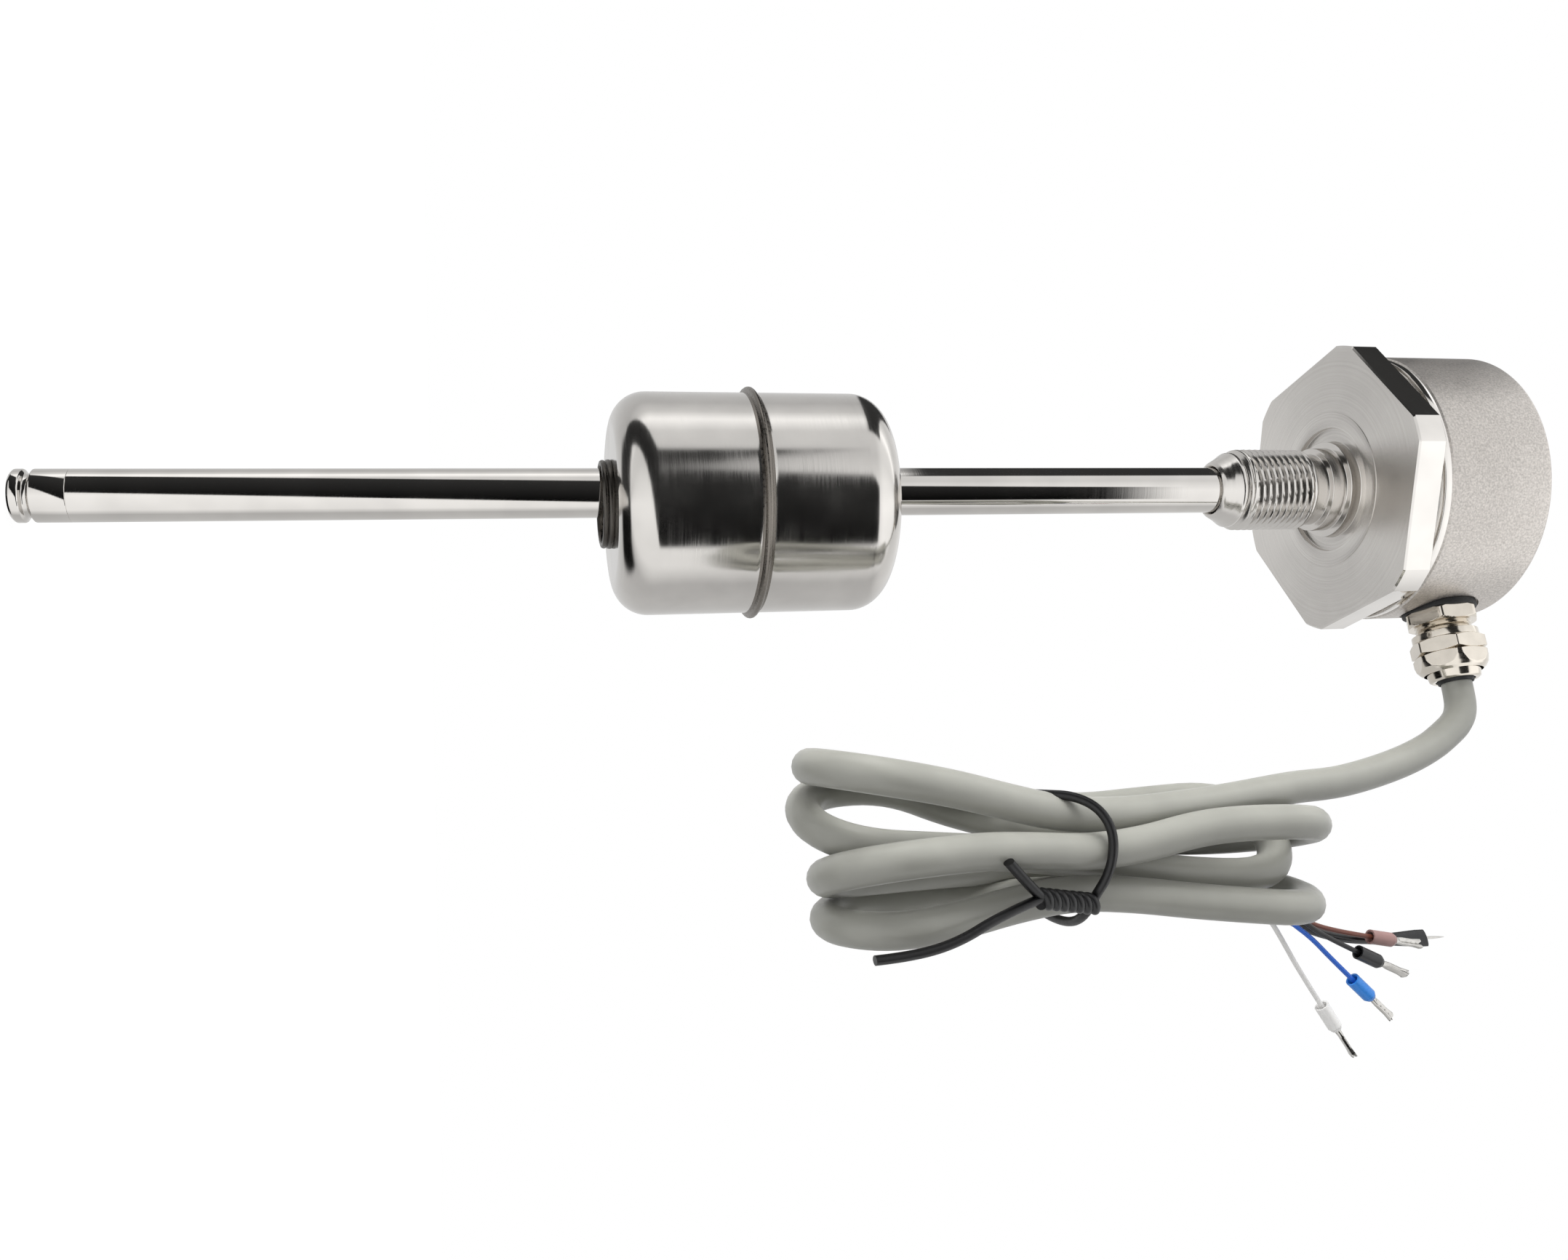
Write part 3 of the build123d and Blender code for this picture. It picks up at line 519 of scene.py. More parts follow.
# Each strand of the hank between two folds.
strands = [
    [(-11.3, 3.2, 49), (-10.6, 0, 38), (-9.9, -3, 27), (-9.3, -5.2, 15), (-8.8, -6.4, 4),
     (-9.4, -7.2, -8), (-12.2, -8.8, -20), (-15.4, -10.8, -32), (-17.2, -12, -41)],
    [(-15.6, 12.6, -40.5), (-14.6, 10.6, -33), (-12, 9.4, -20), (-8.8, 9.8, -7), (-7.4, 10.4, 5),
     (-8.1, 11.4, 18), (-8.8, 12.2, 31.5)],
    [(4.2, -5.6, 31.5), (3.4, -3.8, 20), (1.2, -2.6, 8), (-0.6, -1.2, -5), (-2.2, -1.6, -18),
     (-3.4, -2.8, -31), (-4.6, -3.6, -40)],
    [(-12, 18.8, -40), (-12.4, 17.6, -32), (-7.6, 14.4, -20), (-5, 6.8, -8), (-4.4, 4.2, 4),
     (-2.4, 8.8, 16), (-0.6, 12.4, 27), (-0.2, 13.4, 35)],
    [(-7, -12, 35), (-7.2, -11.8, 26.5), (-6.6, -12, 16), (-4.2, -11.8, 5), (-3.3, -11.8, -6),
     (-4.4, -13.2, -18), (-5, -14.6, -29), (-4.4, -15.2, -39)],
    [(2.8, 8.6, -39), (2.2, 7.4, -29), (2, 7, -17), (2, 6.8, -5), (2.4, 8, 7),
     (4.4, 10.4, 17), (6.4, 12.6, 26.5), (7.2, 13.4, 33.5)],
    [(8.6, -12.6, 33.5), (7.8, -11.4, 25.5), (6.6, -10.2, 15), (5.2, -9.2, 5), (4.2, -8.6, -7),
     (5.4, -9.6, -19), (7, -11, -29), (8, -12.2, -36.5)],
    [(8.4, 13.4, -36.5), (8.6, 12.8, -29), (7.8, 8.2, -19), (6.4, 1.4, -8), (6.4, 0.4, 2),
     (6.6, 2.4, 8), (6.8, 3.4, 12)],
]
core_routes = {
    "white": [(9.5, 4.3, 27.5), (10.1, 4.4, 35.0), (11.7, 4.2, 40.4), (14.9, 4.0, 44.2),
              (19.0, 3.7, 46.8), (25.6, 3.4, 50.8), (32.6, 3.0, 55.7)],
    "blue": [(8.5, 2.3, 27.5), (9.2, 2.4, 36.0), (11.2, 2.5, 42.6), (15.4, 2.6, 48.0),
             (18.8, 2.7, 53.0), (23.4, 2.6, 57.8), (27.8, 2.5, 62.8)],
    "black": [(6.8, 2.5, 27.5), (7.5, 2.5, 36.0), (10.2, 1.9, 44.0), (15.4, 1.9, 50.6),
              (19.0, 2.0, 56.4), (22.2, 1.8, 63.5)],
    "brown": [(6.2, 4.4, 27.5), (7.0, 4.5, 36.0), (10.8, 4.5, 44.6), (15.8, 4.3, 52.4),
              (18.4, 4.1, 60.4), (19.9, 4.0, 68.4)],
}
drain_route = [(7.8, 5.6, 27.5), (8.3, 5.6, 36.0), (12.2, 6.2, 44.6), (17.2, 6.8, 53.0),
               (20.3, 6.9, 62.0), (21.6, 6.9, 72.5), (21.9, 6.9, 85.2)]
# How far each ferrule is turned about its own axis, in degrees.
ferrule_turn = {"white": 20, "blue": 70, "black": -25, "brown": 80}
tie_loop = [
    (-13.2, -7.6, -12), (-13.2, -10.4, -8.6), (-11.6, -13.2, -5.4), (-8.4, -15.4, -3.8), (-4.4, -16.4, -3.8),
    (0, -16.2, -4.8), (4, -14.6, -6.6), (7.4, -12.4, -7), (10, -7, -6.4), (10.8, 0, -6), (10, 7.2, -6),
    (6, 11.8, -6.5), (-2, 12.6, -8), (-9.6, 14.2, -9.6), (-12.6, 9.6, -11), (-12.4, 1, -12),
]
tie_tail = [(3.2, -16.4, -18), (5.4, -17.4, -26), (9.2, -18, -34), (11, -17.6, -42), (11.3, -17.2, -48.5)]
tie_stub = [(3.2, -16.4, -17.6), (1.0, -17.4, -20.5), (-3.6, -18.2, -25)]
knot_low = (5.0, -15.2, -7)
knot_high = (3.2, -16.4, -18)


def in_frame(point):
    """A point of the hank's axes in the frame's axes, in millimetres."""
    across, back, up = point
    return hank_middle + hank_across * across + hank_back * back + hank_up * up


def fold(before, start, end, after, count=4):
    """Points of the half circle that joins two strands and carries on their direction."""
    start, end = Vector(start), Vector(end)
    out = (start - Vector(before)).normalized() + (end - Vector(after)).normalized()
    chord = end - start
    radius = chord.length / 2
    chord.normalize()
    out = (out - chord * out.dot(chord)).normalized()
    reach = radius / math.cos(math.pi / (2 * count))
    middle = (start + end) / 2
    points = []
    for i in range(count):
        angle = math.pi * (i + 0.5) / count
        points.append(middle - chord * reach * math.cos(angle) + out * reach * math.sin(angle))
    return points


def cable_route():
    """The whole cable: the lead, then every strand with the folds between them."""
    route = []
    for i, strand in enumerate(strands):
        first = 1 if i else 0
        last = len(strand) - 1 if i + 1 < len(strands) else len(strand)
        route += strand[first:last]
        if i + 1 < len(strands):
            following = strands[i + 1]
            route += fold(strand[-2], strand[-1], following[0], following[1])
    return [Vector(p) for p in lead] + [in_frame(p) for p in route]


class SENSOR_OT_stage(bpy.types.Operator):
    """Build the camera, the lamps, the surroundings and the floor"""

    bl_idname = "sensor.stage"
    bl_label = "Stage"

    def execute(self, context):
        self.camera(context)
        self.surroundings(context)
        self.lamps()
        self.floor()
        return {"FINISHED"}

    def camera(self, context):
        data = bpy.data.cameras.new("Camera")
        data.sensor_width = 36
        data.lens = 30.94
        data.clip_start = 0.01
        camera = link("Camera", data)
        right = Vector((0.0907, -0.2006, 0.9755)).normalized()
        forward = Vector((-0.2872, 0.9326, 0.2185)).normalized()
        down = forward.cross(right).normalized()
        turn = Matrix((right, -down, -forward)).transposed().to_4x4()
        camera.matrix_world = Matrix.Translation((0.1077, -0.25247, -0.18894)) @ turn
        context.scene.camera = camera
        context.scene.view_settings.view_transform = "Standard"

    def surroundings(self, context):
        """A white studio with dark cards beside the camera, which polished steel mirrors as bands."""
        world = bpy.data.worlds.new("Studio")
        context.scene.world = world
        world.use_nodes = True
        # Matt and glossy surfaces see different light here, so it is sampled from the surface alone.
        world.cycles.sampling_method = "NONE"
        tree = world.node_tree
        tree.nodes.clear()
        way = add(tree, "ShaderNodeTexCoord").outputs["Generated"]
        toward = add(tree, "ShaderNodeVectorMath", {"operation": "DOT_PRODUCT"}, i0=way, i1=(0.39, -0.92, 0))
        across = add(tree, "ShaderNodeVectorMath", {"operation": "DOT_PRODUCT"}, i0=way, i1=(0.92, 0.39, 0))
        angle = add(tree, "ShaderNodeMath", {"operation": "ARCTAN2"},
                    i0=across.outputs["Value"], i1=toward.outputs["Value"]).outputs[0]
        height = add(tree, "ShaderNodeSeparateXYZ", i0=way).outputs[2]

        def math_node(operation, first, second):
            return add(tree, "ShaderNodeMath", {"operation": operation}, i0=first, i1=second).outputs[0]

        def ramp(value, points):
            node = add(tree, "ShaderNodeValToRGB", i0=value)
            while len(node.color_ramp.elements) < len(points):
                node.color_ramp.elements.new(0.5)
            for element, (at, level) in zip(node.color_ramp.elements, points):
                element.position = at
                element.color = (level, level, level, 1)
            return node.outputs[0]

        def edge(value, start, width=0.1):
            """Rises from 0 to 1 just past start."""
            return add(tree, "ShaderNodeMapRange", {"interpolation_type": "SMOOTHSTEP"},
                       i0=value, i1=start, i2=start + width, i3=0.0, i4=1.0).outputs[0]

        def flip(value):
            return math_node("SUBTRACT", 1.0, value)

        def line(start, slope, base):
            """A bound that moves round with the height of the ray."""
            return math_node("ADD", math_node("MULTIPLY", math_node("SUBTRACT", height, base), slope), start)

        # A dark card stands in front, from one angle to the other, and a white gap cuts into it above.
        below = math_node("MAXIMUM", math_node("SUBTRACT", 0.1, height), 0.0)
        card_top = math_node("SUBTRACT", -1.05, math_node("MULTIPLY", below, 1.62))
        card_bottom = math_node("SUBTRACT", 0.82, math_node("MULTIPLY", below, 2.74))
        from_top = math_node("SUBTRACT", angle, card_top)
        from_bottom = math_node("SUBTRACT", angle, card_bottom)
        card = math_node("MULTIPLY", edge(from_top, 0.0), flip(edge(from_bottom, -0.1)))
        card = math_node("MULTIPLY", card, flip(edge(height, 0.44, 0.05)))
        gap = math_node("MULTIPLY", edge(math_node("SUBTRACT", angle, line(-0.61, -3.14, 0.13)), -0.03),
                        flip(edge(math_node("SUBTRACT", angle, line(-0.61, 1.05, 0.13)), -0.1)))
        card = math_node("MULTIPLY", card, flip(math_node("MULTIPLY", gap, edge(height, 0.13, 0.1))))
        # A second card stands above and behind.
        off_side = math_node("ABSOLUTE", math_node("ADD", angle, 2.1), 0.0)
        off_height = math_node("MULTIPLY", math_node("ABSOLUTE", math_node("SUBTRACT", height, 0.48), 0.0), 4.0)
        far_card = flip(edge(math_node("MAXIMUM", off_side, off_height), 0.64, 0.1))
        # The dark room below the tip puts the bow tie on the turned face.
        low_room = flip(edge(height, -0.78, 0.1))
        low_room = math_node("MULTIPLY", low_room, edge(math_node("ABSOLUTE", angle, 0.0), 1.5, 0.3))
        dark = math_node("MAXIMUM", math_node("MAXIMUM", card, far_card), low_room)
        dark_level = add(tree, "ShaderNodeMapRange", i0=from_top, i1=0.0, i2=1.6, i3=0.045, i4=0.006).outputs[0]
        share = math_node("ADD", math_node("DIVIDE", angle, 6.2832), 0.5)
        sweep = ramp(share, [(0.0, 0.36), (0.15, 0.3), (0.2, 0.42), (0.235, 0.72), (0.28, 0.44), (0.36, 0.42),
                             (0.5, 0.6), (0.68, 0.54), (0.75, 0.3), (0.9, 0.33), (1.0, 0.36)])
        bright = math_node("MULTIPLY", sweep, 2.2)
        bright = math_node("ADD", bright, math_node("MULTIPLY", edge(height, 0.4, 0.3), 0.25))
        studio = math_node("ADD", math_node("MULTIPLY", bright, flip(dark)), math_node("MULTIPLY", dark_level, dark))
        # Matt surfaces get a softer light that falls off below the picture.
        fall = add(tree, "ShaderNodeVectorMath", {"operation": "DOT_PRODUCT"}, i0=way, i1=(0.954, 0.3, -0.027))
        matt = math_node("SUBTRACT", 0.62, math_node("MULTIPLY", fall.outputs["Value"], 0.58))
        rays = add(tree, "ShaderNodeLightPath").outputs
        strength = add(tree, "ShaderNodeMix", {"data_type": "FLOAT"}, i0=rays["Is Diffuse Ray"], i2=studio, i3=matt)
        soft = add(tree, "ShaderNodeBackground", Color=(1, 1, 1, 1), Strength=strength.outputs[0])
        plain = add(tree, "ShaderNodeBackground", Color=(1, 1, 1, 1), Strength=1.0)
        see_through = math_node("MAXIMUM", rays["Is Camera Ray"], rays["Is Transmission Ray"])
        mix = add(tree, "ShaderNodeMixShader", i0=see_through, i1=soft.outputs[0], i2=plain.outputs[0])
        add(tree, "ShaderNodeOutputWorld", Surface=mix.outputs[0])

    def lamps(self):
        spots = [
            ("Key softbox", (-0.62, -0.34, 0.02), 0.45, 6.4),
            ("Fill softbox", (0.55, -0.4, -0.3), 0.5, 0.5),
        ]
        for name, at, size, power in spots:
            data = bpy.data.lights.new(name, "AREA")
            data.shape = "SQUARE"
            data.size = size
            data.energy = power
            lamp = link(name, data)
            lamp.location = at
            lamp.visible_glossy = False
            aim = Vector((0.02, 0, -0.1)) - lamp.location
            lamp.rotation_euler = aim.to_track_quat("-Z", "Y").to_euler()

    def floor(self):
        """A white floor under the tip that keeps a soft share of the shadow."""
        low = cad_box[0][2]
        mesh = bpy.data.meshes.new("Floor")
        half = 2.0
        mesh.from_pydata([(-half, -half, 0), (half, -half, 0), (half, half, 0), (-half, half, 0)], [], [(0, 1, 2, 3)])
        floor = link("Floor", mesh)
        floor.location = (0, 0, low - 0.0005)
        material, tree, shader, place = fresh("White studio paper")
        shader.inputs["Base Color"].default_value = rgba(linear("#F4F4F4"))
        shader.inputs["Roughness"].default_value = 0.8
        rays = add(tree, "ShaderNodeLightPath").outputs
        seen = add(tree, "ShaderNodeMath", {"operation": "MAXIMUM"}, i0=rays["Is Camera Ray"], i1=rays["Is Glossy Ray"])
        seen = add(tree, "ShaderNodeMath", {"operation": "MAXIMUM"}, i0=seen.outputs[0], i1=rays["Is Transmission Ray"])
        part = add(tree, "ShaderNodeMath", {"operation": "MULTIPLY"}, i0=seen.outputs[0], i1=0.88)
        glow = add(tree, "ShaderNodeEmission", Color=(1, 1, 1, 1), Strength=1.08)
        mix = add(tree, "ShaderNodeMixShader", i0=part.outputs[0], i1=shader.outputs[0], i2=glow.outputs[0])
        # Steel mirrors the studio beyond the paper.
        through = add(tree, "ShaderNodeBsdfTransparent")
        mix = add(tree, "ShaderNodeMixShader", i0=rays["Is Glossy Ray"], i1=mix.outputs[0], i2=through.outputs[0])
        output = next(node for node in tree.nodes if node.type == "OUTPUT_MATERIAL")
        tree.links.new(mix.outputs[0], output.inputs["Surface"])
        mesh.materials.append(material)


class SENSOR_OT_cable(bpy.types.Operator):
    """Build the grey cable: its lead from the gland and its hank"""

    bl_idname = "sensor.cable"
    bl_label = "Cable"

    def execute(self, context):
        sizes = context.scene.sensor_sizes
        cable = smooth_line("cable", cable_route(), sizes.cable_diameter, resolution=6)
        settle(cable, "sensor", "cable_grey", "cable_lead", "cable_hank")
        finish_with("cable_tail", "cable_grey")
        finish_with("cable_end_sleeve", "shrink_black")
        return {"FINISHED"}


class SENSOR_OT_cable_end(bpy.types.Operator):
    """Build the cores, their ferrules and the drain wire"""

    bl_idname = "sensor.cable_end"
    bl_label = "Cores and ferrules"

    def execute(self, context):
        sizes = context.scene.sensor_sizes
        for colour, route in core_routes.items():
            points = [in_frame(p) for p in route]
            way = (points[-1] - points[-2]).normalized()
            points[-1] = points[-1] + way * 2.5
            wire = smooth_line("core_" + colour, points, sizes.core_diameter, resolution=8)
            settle(wire, "sensor", "core_" + colour, "wire_" + colour)
            pin = self.ferrule(colour, in_frame(route[-1]), way)
            finish_with("ferrule_collar_" + colour, "collar_" + colour)
        self.drain()
        return {"FINISHED"}

    def ferrule(self, colour, entry, way):
        """The crimped tube: round at the collar, pressed to a channel, ragged at the end."""
        start = entry + way * 2.6
        length = 10.0
        steps = 40
        path = [(start + way * length * i / steps) * MM for i in range(steps + 1)]
        rough = random.Random(len(colour))
        ragged = [rough.uniform(-0.35, 0.35) for _ in range(28)]

        def section(share, angle):
            at = share * length
            pressed = min(1.0, max(0.0, (at - 4.0) / 1.2))
            flare = max(0.0, (at - 8.2) / 1.8)
            half_width = 0.65 + 0.12 * pressed + 0.22 * flare
            half_height = 0.65 - 0.22 * pressed + 0.08 * flare
            across = half_width * math.cos(angle)
            high = half_height * math.sin(angle)
            if pressed > 0:
                box = max(abs(math.cos(angle)), abs(math.sin(angle)))
                across *= 1 + pressed * (1 / box - 1) * 0.85
                high *= 1 + pressed * (1 / box - 1) * 0.85
                dents = 0.5 + 0.5 * math.cos((at - 5.0) * 2 * math.pi / 1.25)
                if high > 0:
                    groove = max(0.0, 1 - abs(across) / (half_width * 0.62))
                    high -= pressed * groove * (0.34 + 0.14 * dents)
            forward = 0.0
            if share > 0.97:
                forward = ragged[int(angle / (2 * math.pi) * 27)]
            return across, high, forward

        turn = Matrix.Rotation(math.radians(ferrule_turn[colour]), 3, way)
        up = turn @ (way.cross(Vector((0.2, 1, 0.1)))).normalized()
        pin = swept("ferrule_pin_piece_" + colour, path, section, 28, up)
        settle(pin, "sensor", "tinned_copper", "ferrule_pin_" + colour)
        return pin

    def drain(self):
        """The drain wire in its black sleeve, whose end is pressed flat and spread."""
        path = points_along("drain", [in_frame(p) for p in drain_route])

        def section(share, angle):
            flat = min(1.0, max(0.0, (share - 0.76) / 0.2))
            return (0.95 + 0.85 * flat) * math.cos(angle), (0.95 - 0.4 * flat) * math.sin(angle), 0.0

        sleeve = swept("drain_sleeve_piece", path, section, 24, Vector((0.2, 1, 0.3)))
        settle(sleeve, "sensor", "shrink_black", "drain_sleeve")
        end = in_frame(drain_route[-1])
        way = (end - in_frame(drain_route[-2])).normalized()
        tip = [(end - way * 0.5 + way * 5.4 * i / 12) * MM for i in range(13)]

        def needle(share, angle):
            radius = 0.3 * (1 - 0.8 * share ** 3)
            return radius * math.cos(angle), radius * math.sin(angle), 0.0

        wire = swept("drain_wire_piece", tip, needle, 16)
        settle(wire, "sensor", "tinned_copper", "drain_wire")


class SENSOR_OT_twist_tie(bpy.types.Operator):
    """Build the twist tie: its loop, the twisted knot and both tails"""

    bl_idname = "sensor.twist_tie"
    bl_label = "Twist tie"

    def execute(self, context):
        sizes = context.scene.sensor_sizes
        loop = smooth_line("tie_loop", [in_frame(p) for p in tie_loop], 1.7, closed=True, resolution=10)
        settle(loop, "sensor", "tie_black", "twist_tie")
        low, high = in_frame(knot_low), in_frame(knot_high)
        axis = (high - low).normalized()
        side = axis.cross(Vector((0, 1, 0))).normalized()
        other = axis.cross(side)
        count = 6 * sizes.knot_twists
        for number, offset in enumerate((0, math.pi)):
            points = []
            for i in range(count + 1):
                turn = offset + math.pi * sizes.knot_twists * i / count
                place = low + (high - low) * i / count
                points.append(place + (side * math.cos(turn) + other * math.sin(turn)) * 1.0)
            strand = smooth_line(f"tie_knot_{number}", points, 1.9, resolution=6)
            settle(strand, "sensor", "tie_black")
        for name, route in (("tie_tail", tie_tail), ("tie_stub", tie_stub)):
            path = points_along(name, [in_frame(p) for p in route])

            def section(share, angle):
                """A flat coated strip with a rounded wire inside."""
                across = 1.15 * math.cos(angle)
                high = 0.62 * math.sin(angle) * (1 + 0.35 * abs(math.sin(angle)))
                return across, high, 0.0

            tail = swept(name, path, section, 24, Vector((1, 0.2, 0)))
            settle(tail, "sensor", "tie_black")
        return {"FINISHED"}


class SENSOR_OT_fitting(bpy.types.Operator):
    """Build the process fitting with its cut thread and bevelled hexagon"""

    bl_idname = "sensor.fitting"
    bl_label = "Process fitting"

    def execute(self, context):
        sizes = context.scene.sensor_sizes
        pitch, depth = sizes.thread_pitch, sizes.thread_depth
        top, bottom = -7.5, -22.6
        outline = [
            (5.1, -29.1), (5.6, -29.6), (6.3, -29.0), (7.3, -27.2), (8.3, -25.8), (8.3, -25.0),
            (7.8, -24.55), (8.7, -24.1), (9.0, -23.8), (9.0, bottom), (9.0, top - 0.8), (7.9, top),
            (7.9, -4.6), (9.3, -4.6), (9.3, -1.2), (10.8, -1.2), (10.8, 1.2), (13.9, 1.2), (13.9, 0),
            (17.4, 0), (17.4, HEX_LOW),
        ]
        outline = eased(outline, 0.22)
        first_hex = [(31.85, HEX_LOW), (32.2, HEX_LOW + 0.35), (32.2, HEX_HIGH - 0.35), (31.85, HEX_HIGH)]
        collar = eased([(28.8, HEX_HIGH), (28.8, 7.5), (29.6, 7.5), (29.6, DECK), (26.7, DECK),
                        (26.7, 15), (24.3, 15), (24.3, DECK), (4, DECK), (4, 4), (5.1, 4)], 0.15)
        profile = dense(outline, bottom - 1.5, top - 0.7, pitch / 14) + first_hex + collar
        flats = 29.25

        def shape(radius, height, angle):
            if bottom - 1.4 < height < top - 0.4 and radius > 8.6:
                ends = min(1.0, max(0.0, (height - bottom + 1.3) / 1.2), max(0.0, (top - 0.5 - height) / 1.4))
                phase = (height / pitch - angle / (2 * math.pi)) % 1.0
                valley = min(1.0, max(0.0, (0.5 - abs(phase - 0.5)) * 2 * 1.3 - 0.15))
                return radius - depth * valley * max(0.0, ends)
            if radius > 30 and HEX_LOW - 0.01 < height < HEX_HIGH + 0.01:
                near = min(height - HEX_LOW, HEX_HIGH - height)
                bevel = max(0.0, 0.35 - near)
                step = (angle + math.pi / 6) % (math.pi / 3) - math.pi / 6
                return min(radius, (flats - bevel) / math.cos(step))
            return radius

        reach = math.acos(flats / 32.2)
        extra = [(k * math.pi / 3 + s * reach) % (2 * math.pi) for k in range(6) for s in (-1, 1)]
        fitting = turned("process_fitting_piece", profile, 240, shape, sharp=24, extra=extra)
        settle(fitting, "sensor", "fitting_steel", "process_fitting")
        fitting.data.materials.append(finishes["flat_steel"])
        fitting.data.materials.append(finishes["thread_steel"])
        for face in fitting.data.polygons:
            middle = face.center / MM
            reached = math.hypot(middle.x, middle.y)
            if reached > 28 and abs(face.normal.z) < 0.9:
                face.material_index = 1
            elif middle.z < -0.2:
                face.material_index = 2
        return {"FINISHED"}


class SENSOR_OT_stem(bpy.types.Operator):
    """Build the polished stem and its grooved end plug"""

    bl_idname = "sensor.stem"
    bl_label = "Stem"

    def execute(self, context):
        tube = turned("stem_tube_piece", [(4, PLUG_TOP), (5, PLUG_TOP), (5, 4), (4, 4)], 128)
        settle(tube, "sensor", "stem_steel", "stem_tube")
        outline = [
            (0, TIP), (4.4, TIP), (5, TIP + 0.6), (5, TIP + 2), (4.15, TIP + 2.5), (4.15, TIP + 3.3),
            (5, TIP + 3.8), (5, PLUG_TOP), (3.9, PLUG_TOP), (3.9, PLUG_TOP + 5), (0, PLUG_TOP + 5),
        ]
        plug = turned("stem_end_plug_piece", eased(outline, 0.2), 128)
        settle(plug, "sensor", "stem_steel", "stem_end_plug")
        return {"FINISHED"}


class SENSOR_OT_float(bpy.types.Operator):
    """Build the float's two drawn shells, the rib and the bore tube with its rolled lips"""

    bl_idname = "sensor.float"
    bl_label = "Float"

    def execute(self, context):
        sizes = context.scene.sensor_sizes
        place = Matrix.Translation(FLOAT_AT * MM)
        corner = 7.0
        for side, node in ((1, "float_upper_shell"), (-1, "float_lower_shell")):
            outline = [(8.5, 28)]
            for i in range(17):
                angle = math.pi / 2 * (1 - i / 16)
                outline.append((15.5 + corner * math.cos(angle), 21 + corner * math.sin(angle)))
            outline += [(22.5, 20.4), (22.5, 14), (22.5, 7), (22.5, 1.9), (22.5, 1.3), (22.62, 0.78)]
            rounding = sizes.rib_round
            for i in range(5):
                angle = math.pi / 2 * (1 - i / 4)
                outline.append((23.7 - rounding + rounding * math.cos(angle), rounding * math.sin(angle)))
            outline += [(21.5, 0), (21.5, 21)]
            for i in range(9):
                angle = math.pi / 2 * i / 8
                outline.append((15.5 + 6 * math.cos(angle), 21 + 6 * math.sin(angle)))
            outline.append((8.5, 27))
            outline = [(r, z * side) for r, z in outline]
            shell = turned(node + "_piece", outline, 256, place=place, sharp=50)
            settle(shell, "float", "float_steel", node)
            shell.data.materials.append(finishes["rib_steel"])
            for face in shell.data.polygons:
                middle = face.center / MM - FLOAT_AT
                if math.hypot(middle.x, middle.y) > 22.55:
                    face.material_index = 1
        lip = [
            (8.45, 28), (8.9, 28), (9.0, 28.5), (8.9, 28.95), (8.6, 29.1), (8.85, 29.3), (8.9, 29.7),
            (8.7, 30.1), (8.3, 30.2), (7.9, 30.1), (7.75, 29.8),
        ]
        outline = eased(lip + [(r, -z) for r, z in reversed(lip)], 0.14)
        tube = turned("float_bore_tube_piece", outline, 160, place=place, sharp=40)
        settle(tube, "float", "float_steel", "float_bore_tube")
        tube.data.materials.append(finishes["lip_steel"])
        for face in tube.data.polygons:
            middle = face.center / MM - FLOAT_AT
            if abs(middle.z) > 27:
                face.material_index = 1
        finish_with("float_magnet", "magnet")
        finish_with("float_magnet_carrier", "inner_plastic")
        return {"FINISHED"}


class SENSOR_OT_housing(bpy.types.Operator):
    """Build the bead blasted cup"""

    bl_idname = "sensor.housing"
    bl_label = "Housing"

    def execute(self, context):
        outline = [(CAVITY_R, DECK), (29.4, DECK), (HOUSING_R, 9.6), (HOUSING_R, 20), (HOUSING_R, HOUSING_TOP - 1.3)]
        for i in range(1, 9):
            angle = math.pi / 2 * i / 8
            outline.append((28.5 + 1.3 * math.cos(angle), 32.7 + 1.3 * math.sin(angle)))
        outline += [(14, HOUSING_TOP), (0, HOUSING_TOP), (0, 31.5), (CAVITY_R, 31.5)]
        cup = turned("housing_piece", outline, 256)
        settle(cup, "sensor", "housing_steel", "housing")
        toward = Matrix.Translation((0, 0, GLAND_Z * MM)) @ Matrix.Rotation(math.pi / 2, 4, "Y")
        cutters = [
            turned("flat_cutter", [(0, GLAND_SEAT), (8.2, GLAND_SEAT), (8.2, 31), (0, 31)], 96, place=toward),
            turned("hole_cutter", [(0, 24), (6.35, 24), (6.35, 31), (0, 31)], 96, place=toward),
        ]
        for cutter in cutters:
            cut = cup.modifiers.new(cutter.name, "BOOLEAN")
            cut.operation = "DIFFERENCE"
            cut.object = cutter
            cut.solver = "EXACT"
        seen = cup.evaluated_get(context.evaluated_depsgraph_get())
        whole = bpy.data.meshes.new_from_object(seen)
        cup.modifiers.clear()
        cup.data = whole
        whole.set_sharp_from_angle(angle=math.radians(35))
        for cutter in cutters:
            bpy.data.objects.remove(cutter)
        finish_with("housing_seal_ring", "black_rubber")
        return {"FINISHED"}


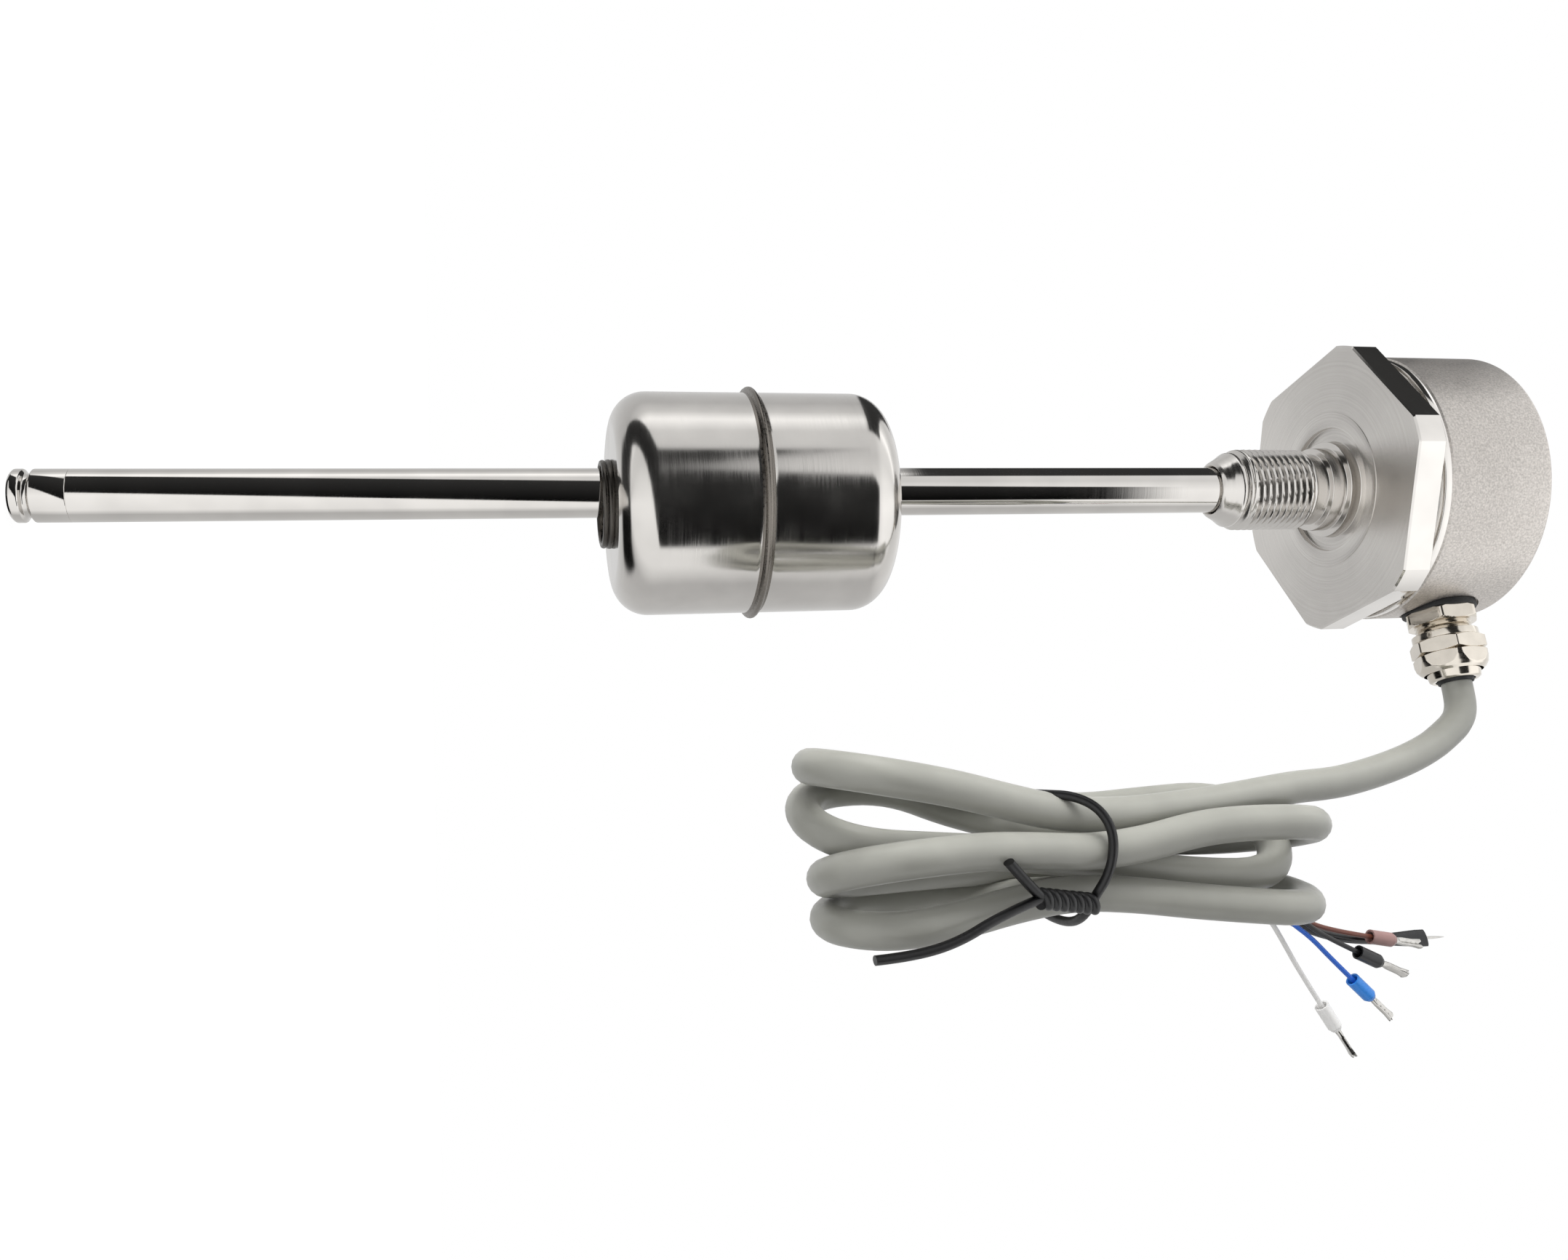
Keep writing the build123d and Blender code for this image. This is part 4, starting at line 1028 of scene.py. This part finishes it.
class SENSOR_OT_gland(bpy.types.Operator):
    """Build the cable gland's body, nut, seal and bush"""

    bl_idname = "sensor.gland"
    bl_label = "Cable gland"

    def execute(self, context):
        toward = Matrix.Translation((0, 0, GLAND_Z * MM)) @ Matrix.Rotation(math.pi / 2, 4, "Y")
        flats = 7.0
        corner = flats / math.cos(math.pi / 6)
        reach = math.pi / 6

        def hexagon(turn, low, high):
            def shape(radius, height, angle):
                if radius < flats - 0.05 or not low - 0.01 <= height <= high + 0.01:
                    return radius
                step = (angle - turn + math.pi / 6) % (math.pi / 3) - math.pi / 6
                return min(radius, flats / math.cos(step))
            return shape

        base_turn = math.radians(37)
        base = eased([(3.9, 23.6), (5.75, 23.6), (6.25, 24.1), (6.25, GLAND_FACE)], 0.1)
        base += [(corner - 0.6, GLAND_FACE), (corner - 0.2, GLAND_FACE + 0.35), (corner - 0.2, GLAND_NECK - 0.5),
                 (flats + 0.1, GLAND_NECK)]
        neck = [(5.9, GLAND_NECK)]
        pitch = 1.0
        count = int((GLAND_NUT - GLAND_NECK) / pitch * 2) + 1
        for i in range(count):
            at = GLAND_NECK + 0.3 + i * pitch / 2
            neck.append((5.9 if i % 2 else 5.45, at))
        neck += [(5.9, 38.2), (4.8, 38.2), (4.8, 31.2), (3.9, 31.2)]
        body = turned("gland_body_piece", dense(base, GLAND_FACE, GLAND_NECK, 0.2) + neck, 180,
                      hexagon(base_turn, GLAND_FACE, GLAND_NECK), toward, 25)
        settle(body, "sensor", "gland_metal", "gland_body")

        nut_turn = math.radians(23)
        start = GLAND_NUT + 1.6
        groove = start + 3.2
        skirt = eased([(6.0, GLAND_NUT), (6.9, GLAND_NUT), (6.9, start)], 0.15)
        outside = [
            (6.98, start), (corner - 0.1, start + 0.55), (corner - 0.1, groove - 0.4), (6.9, groove),
            (corner - 0.3, groove + 0.35), (corner - 0.35, groove + 1.6), (7.35, groove + 2.9),
            (6.75, groove + 3.7), (6.1, groove + 4.2),
        ]
        mouth = eased([(5.3, 45.65), (4.8, GLAND_MOUTH), (4.1, GLAND_MOUTH), (4.1, 45), (4.8, 40.8), (4.8, 38.3),
                       (6.0, 38.3)], 0.1)
        nut = turned("gland_dome_nut_piece", skirt + dense(outside, start, 45.6, 0.15) + mouth, 240,
                     hexagon(nut_turn, start, 45.6), toward, 25)
        settle(nut, "sensor", "gland_metal", "gland_dome_nut")
        seal = eased([(6.35, GLAND_SEAT), (7.8, GLAND_SEAT), (7.8, GLAND_FACE), (6.35, GLAND_FACE)], 0.3)
        ring = turned("gland_seal_piece", seal, 128, place=toward)
        settle(ring, "sensor", "black_rubber", "gland_seal")
        finish_with("gland_claw", "inner_plastic")
        finish_with("gland_bush", "black_rubber")
        return {"FINISHED"}


class SENSOR_OT_inside(bpy.types.Operator):
    """Finish the pieces inside the stem and the head"""

    bl_idname = "sensor.inside"
    bl_label = "Inside"

    def execute(self, context):
        slots = {
            "waveguide_wire": "inner_metal", "return_wire": "copper", "waveguide_sleeve": "inner_plastic",
            "tip_damper": "black_rubber", "stem_spacers": "inner_plastic", "coil_bobbin": "inner_plastic",
            "pickup_coil": "copper", "bias_magnet": "magnet", "circuit_board": "board",
            "board_standoffs": "brass", "board_screws": "screw_steel", "board_chip": "chip_black",
            "board_capacitors": "can_aluminium", "cable_connector": "connector_plastic",
            "inner_leads": "core_blue",
        }
        for node, slot in slots.items():
            finish_with(node, slot)
        return {"FINISHED"}


steps = (
    SENSOR_OT_stage, SENSOR_OT_cable, SENSOR_OT_cable_end, SENSOR_OT_twist_tie, SENSOR_OT_fitting,
    SENSOR_OT_stem, SENSOR_OT_float, SENSOR_OT_housing, SENSOR_OT_gland, SENSOR_OT_inside,
)


class SENSOR_PT_panel(bpy.types.Panel):
    """Lists the sensor's sizes, colours and steps"""

    bl_idname = "SENSOR_PT_panel"
    bl_label = "Level sensor"
    bl_space_type = "VIEW_3D"
    bl_region_type = "UI"
    bl_category = "Level sensor"

    def draw(self, context):
        for group in (context.scene.sensor_sizes, context.scene.sensor_colours):
            for name in group.__annotations__:
                self.layout.prop(group, name)
        for step in steps:
            self.layout.operator(step.bl_idname)


classes = (SensorSizes, SensorColours, *steps, SENSOR_PT_panel)


def register():
    for cls in classes:
        bpy.utils.register_class(cls)
    bpy.types.Scene.sensor_sizes = PointerProperty(type=SensorSizes)
    bpy.types.Scene.sensor_colours = PointerProperty(type=SensorColours)


def unregister():
    del bpy.types.Scene.sensor_sizes
    del bpy.types.Scene.sensor_colours
    for cls in reversed(classes):
        bpy.utils.unregister_class(cls)


def main():
    register()
    finishes.update(make_finishes(bpy.context.scene.sensor_colours))
    bpy.ops.sensor.stage()
    bpy.ops.sensor.cable()
    bpy.ops.sensor.cable_end()
    bpy.ops.sensor.twist_tie()
    bpy.ops.sensor.fitting()
    bpy.ops.sensor.stem()
    bpy.ops.sensor.float()
    bpy.ops.sensor.housing()
    bpy.ops.sensor.gland()
    bpy.ops.sensor.inside()


if __name__ == "__main__":
    main()
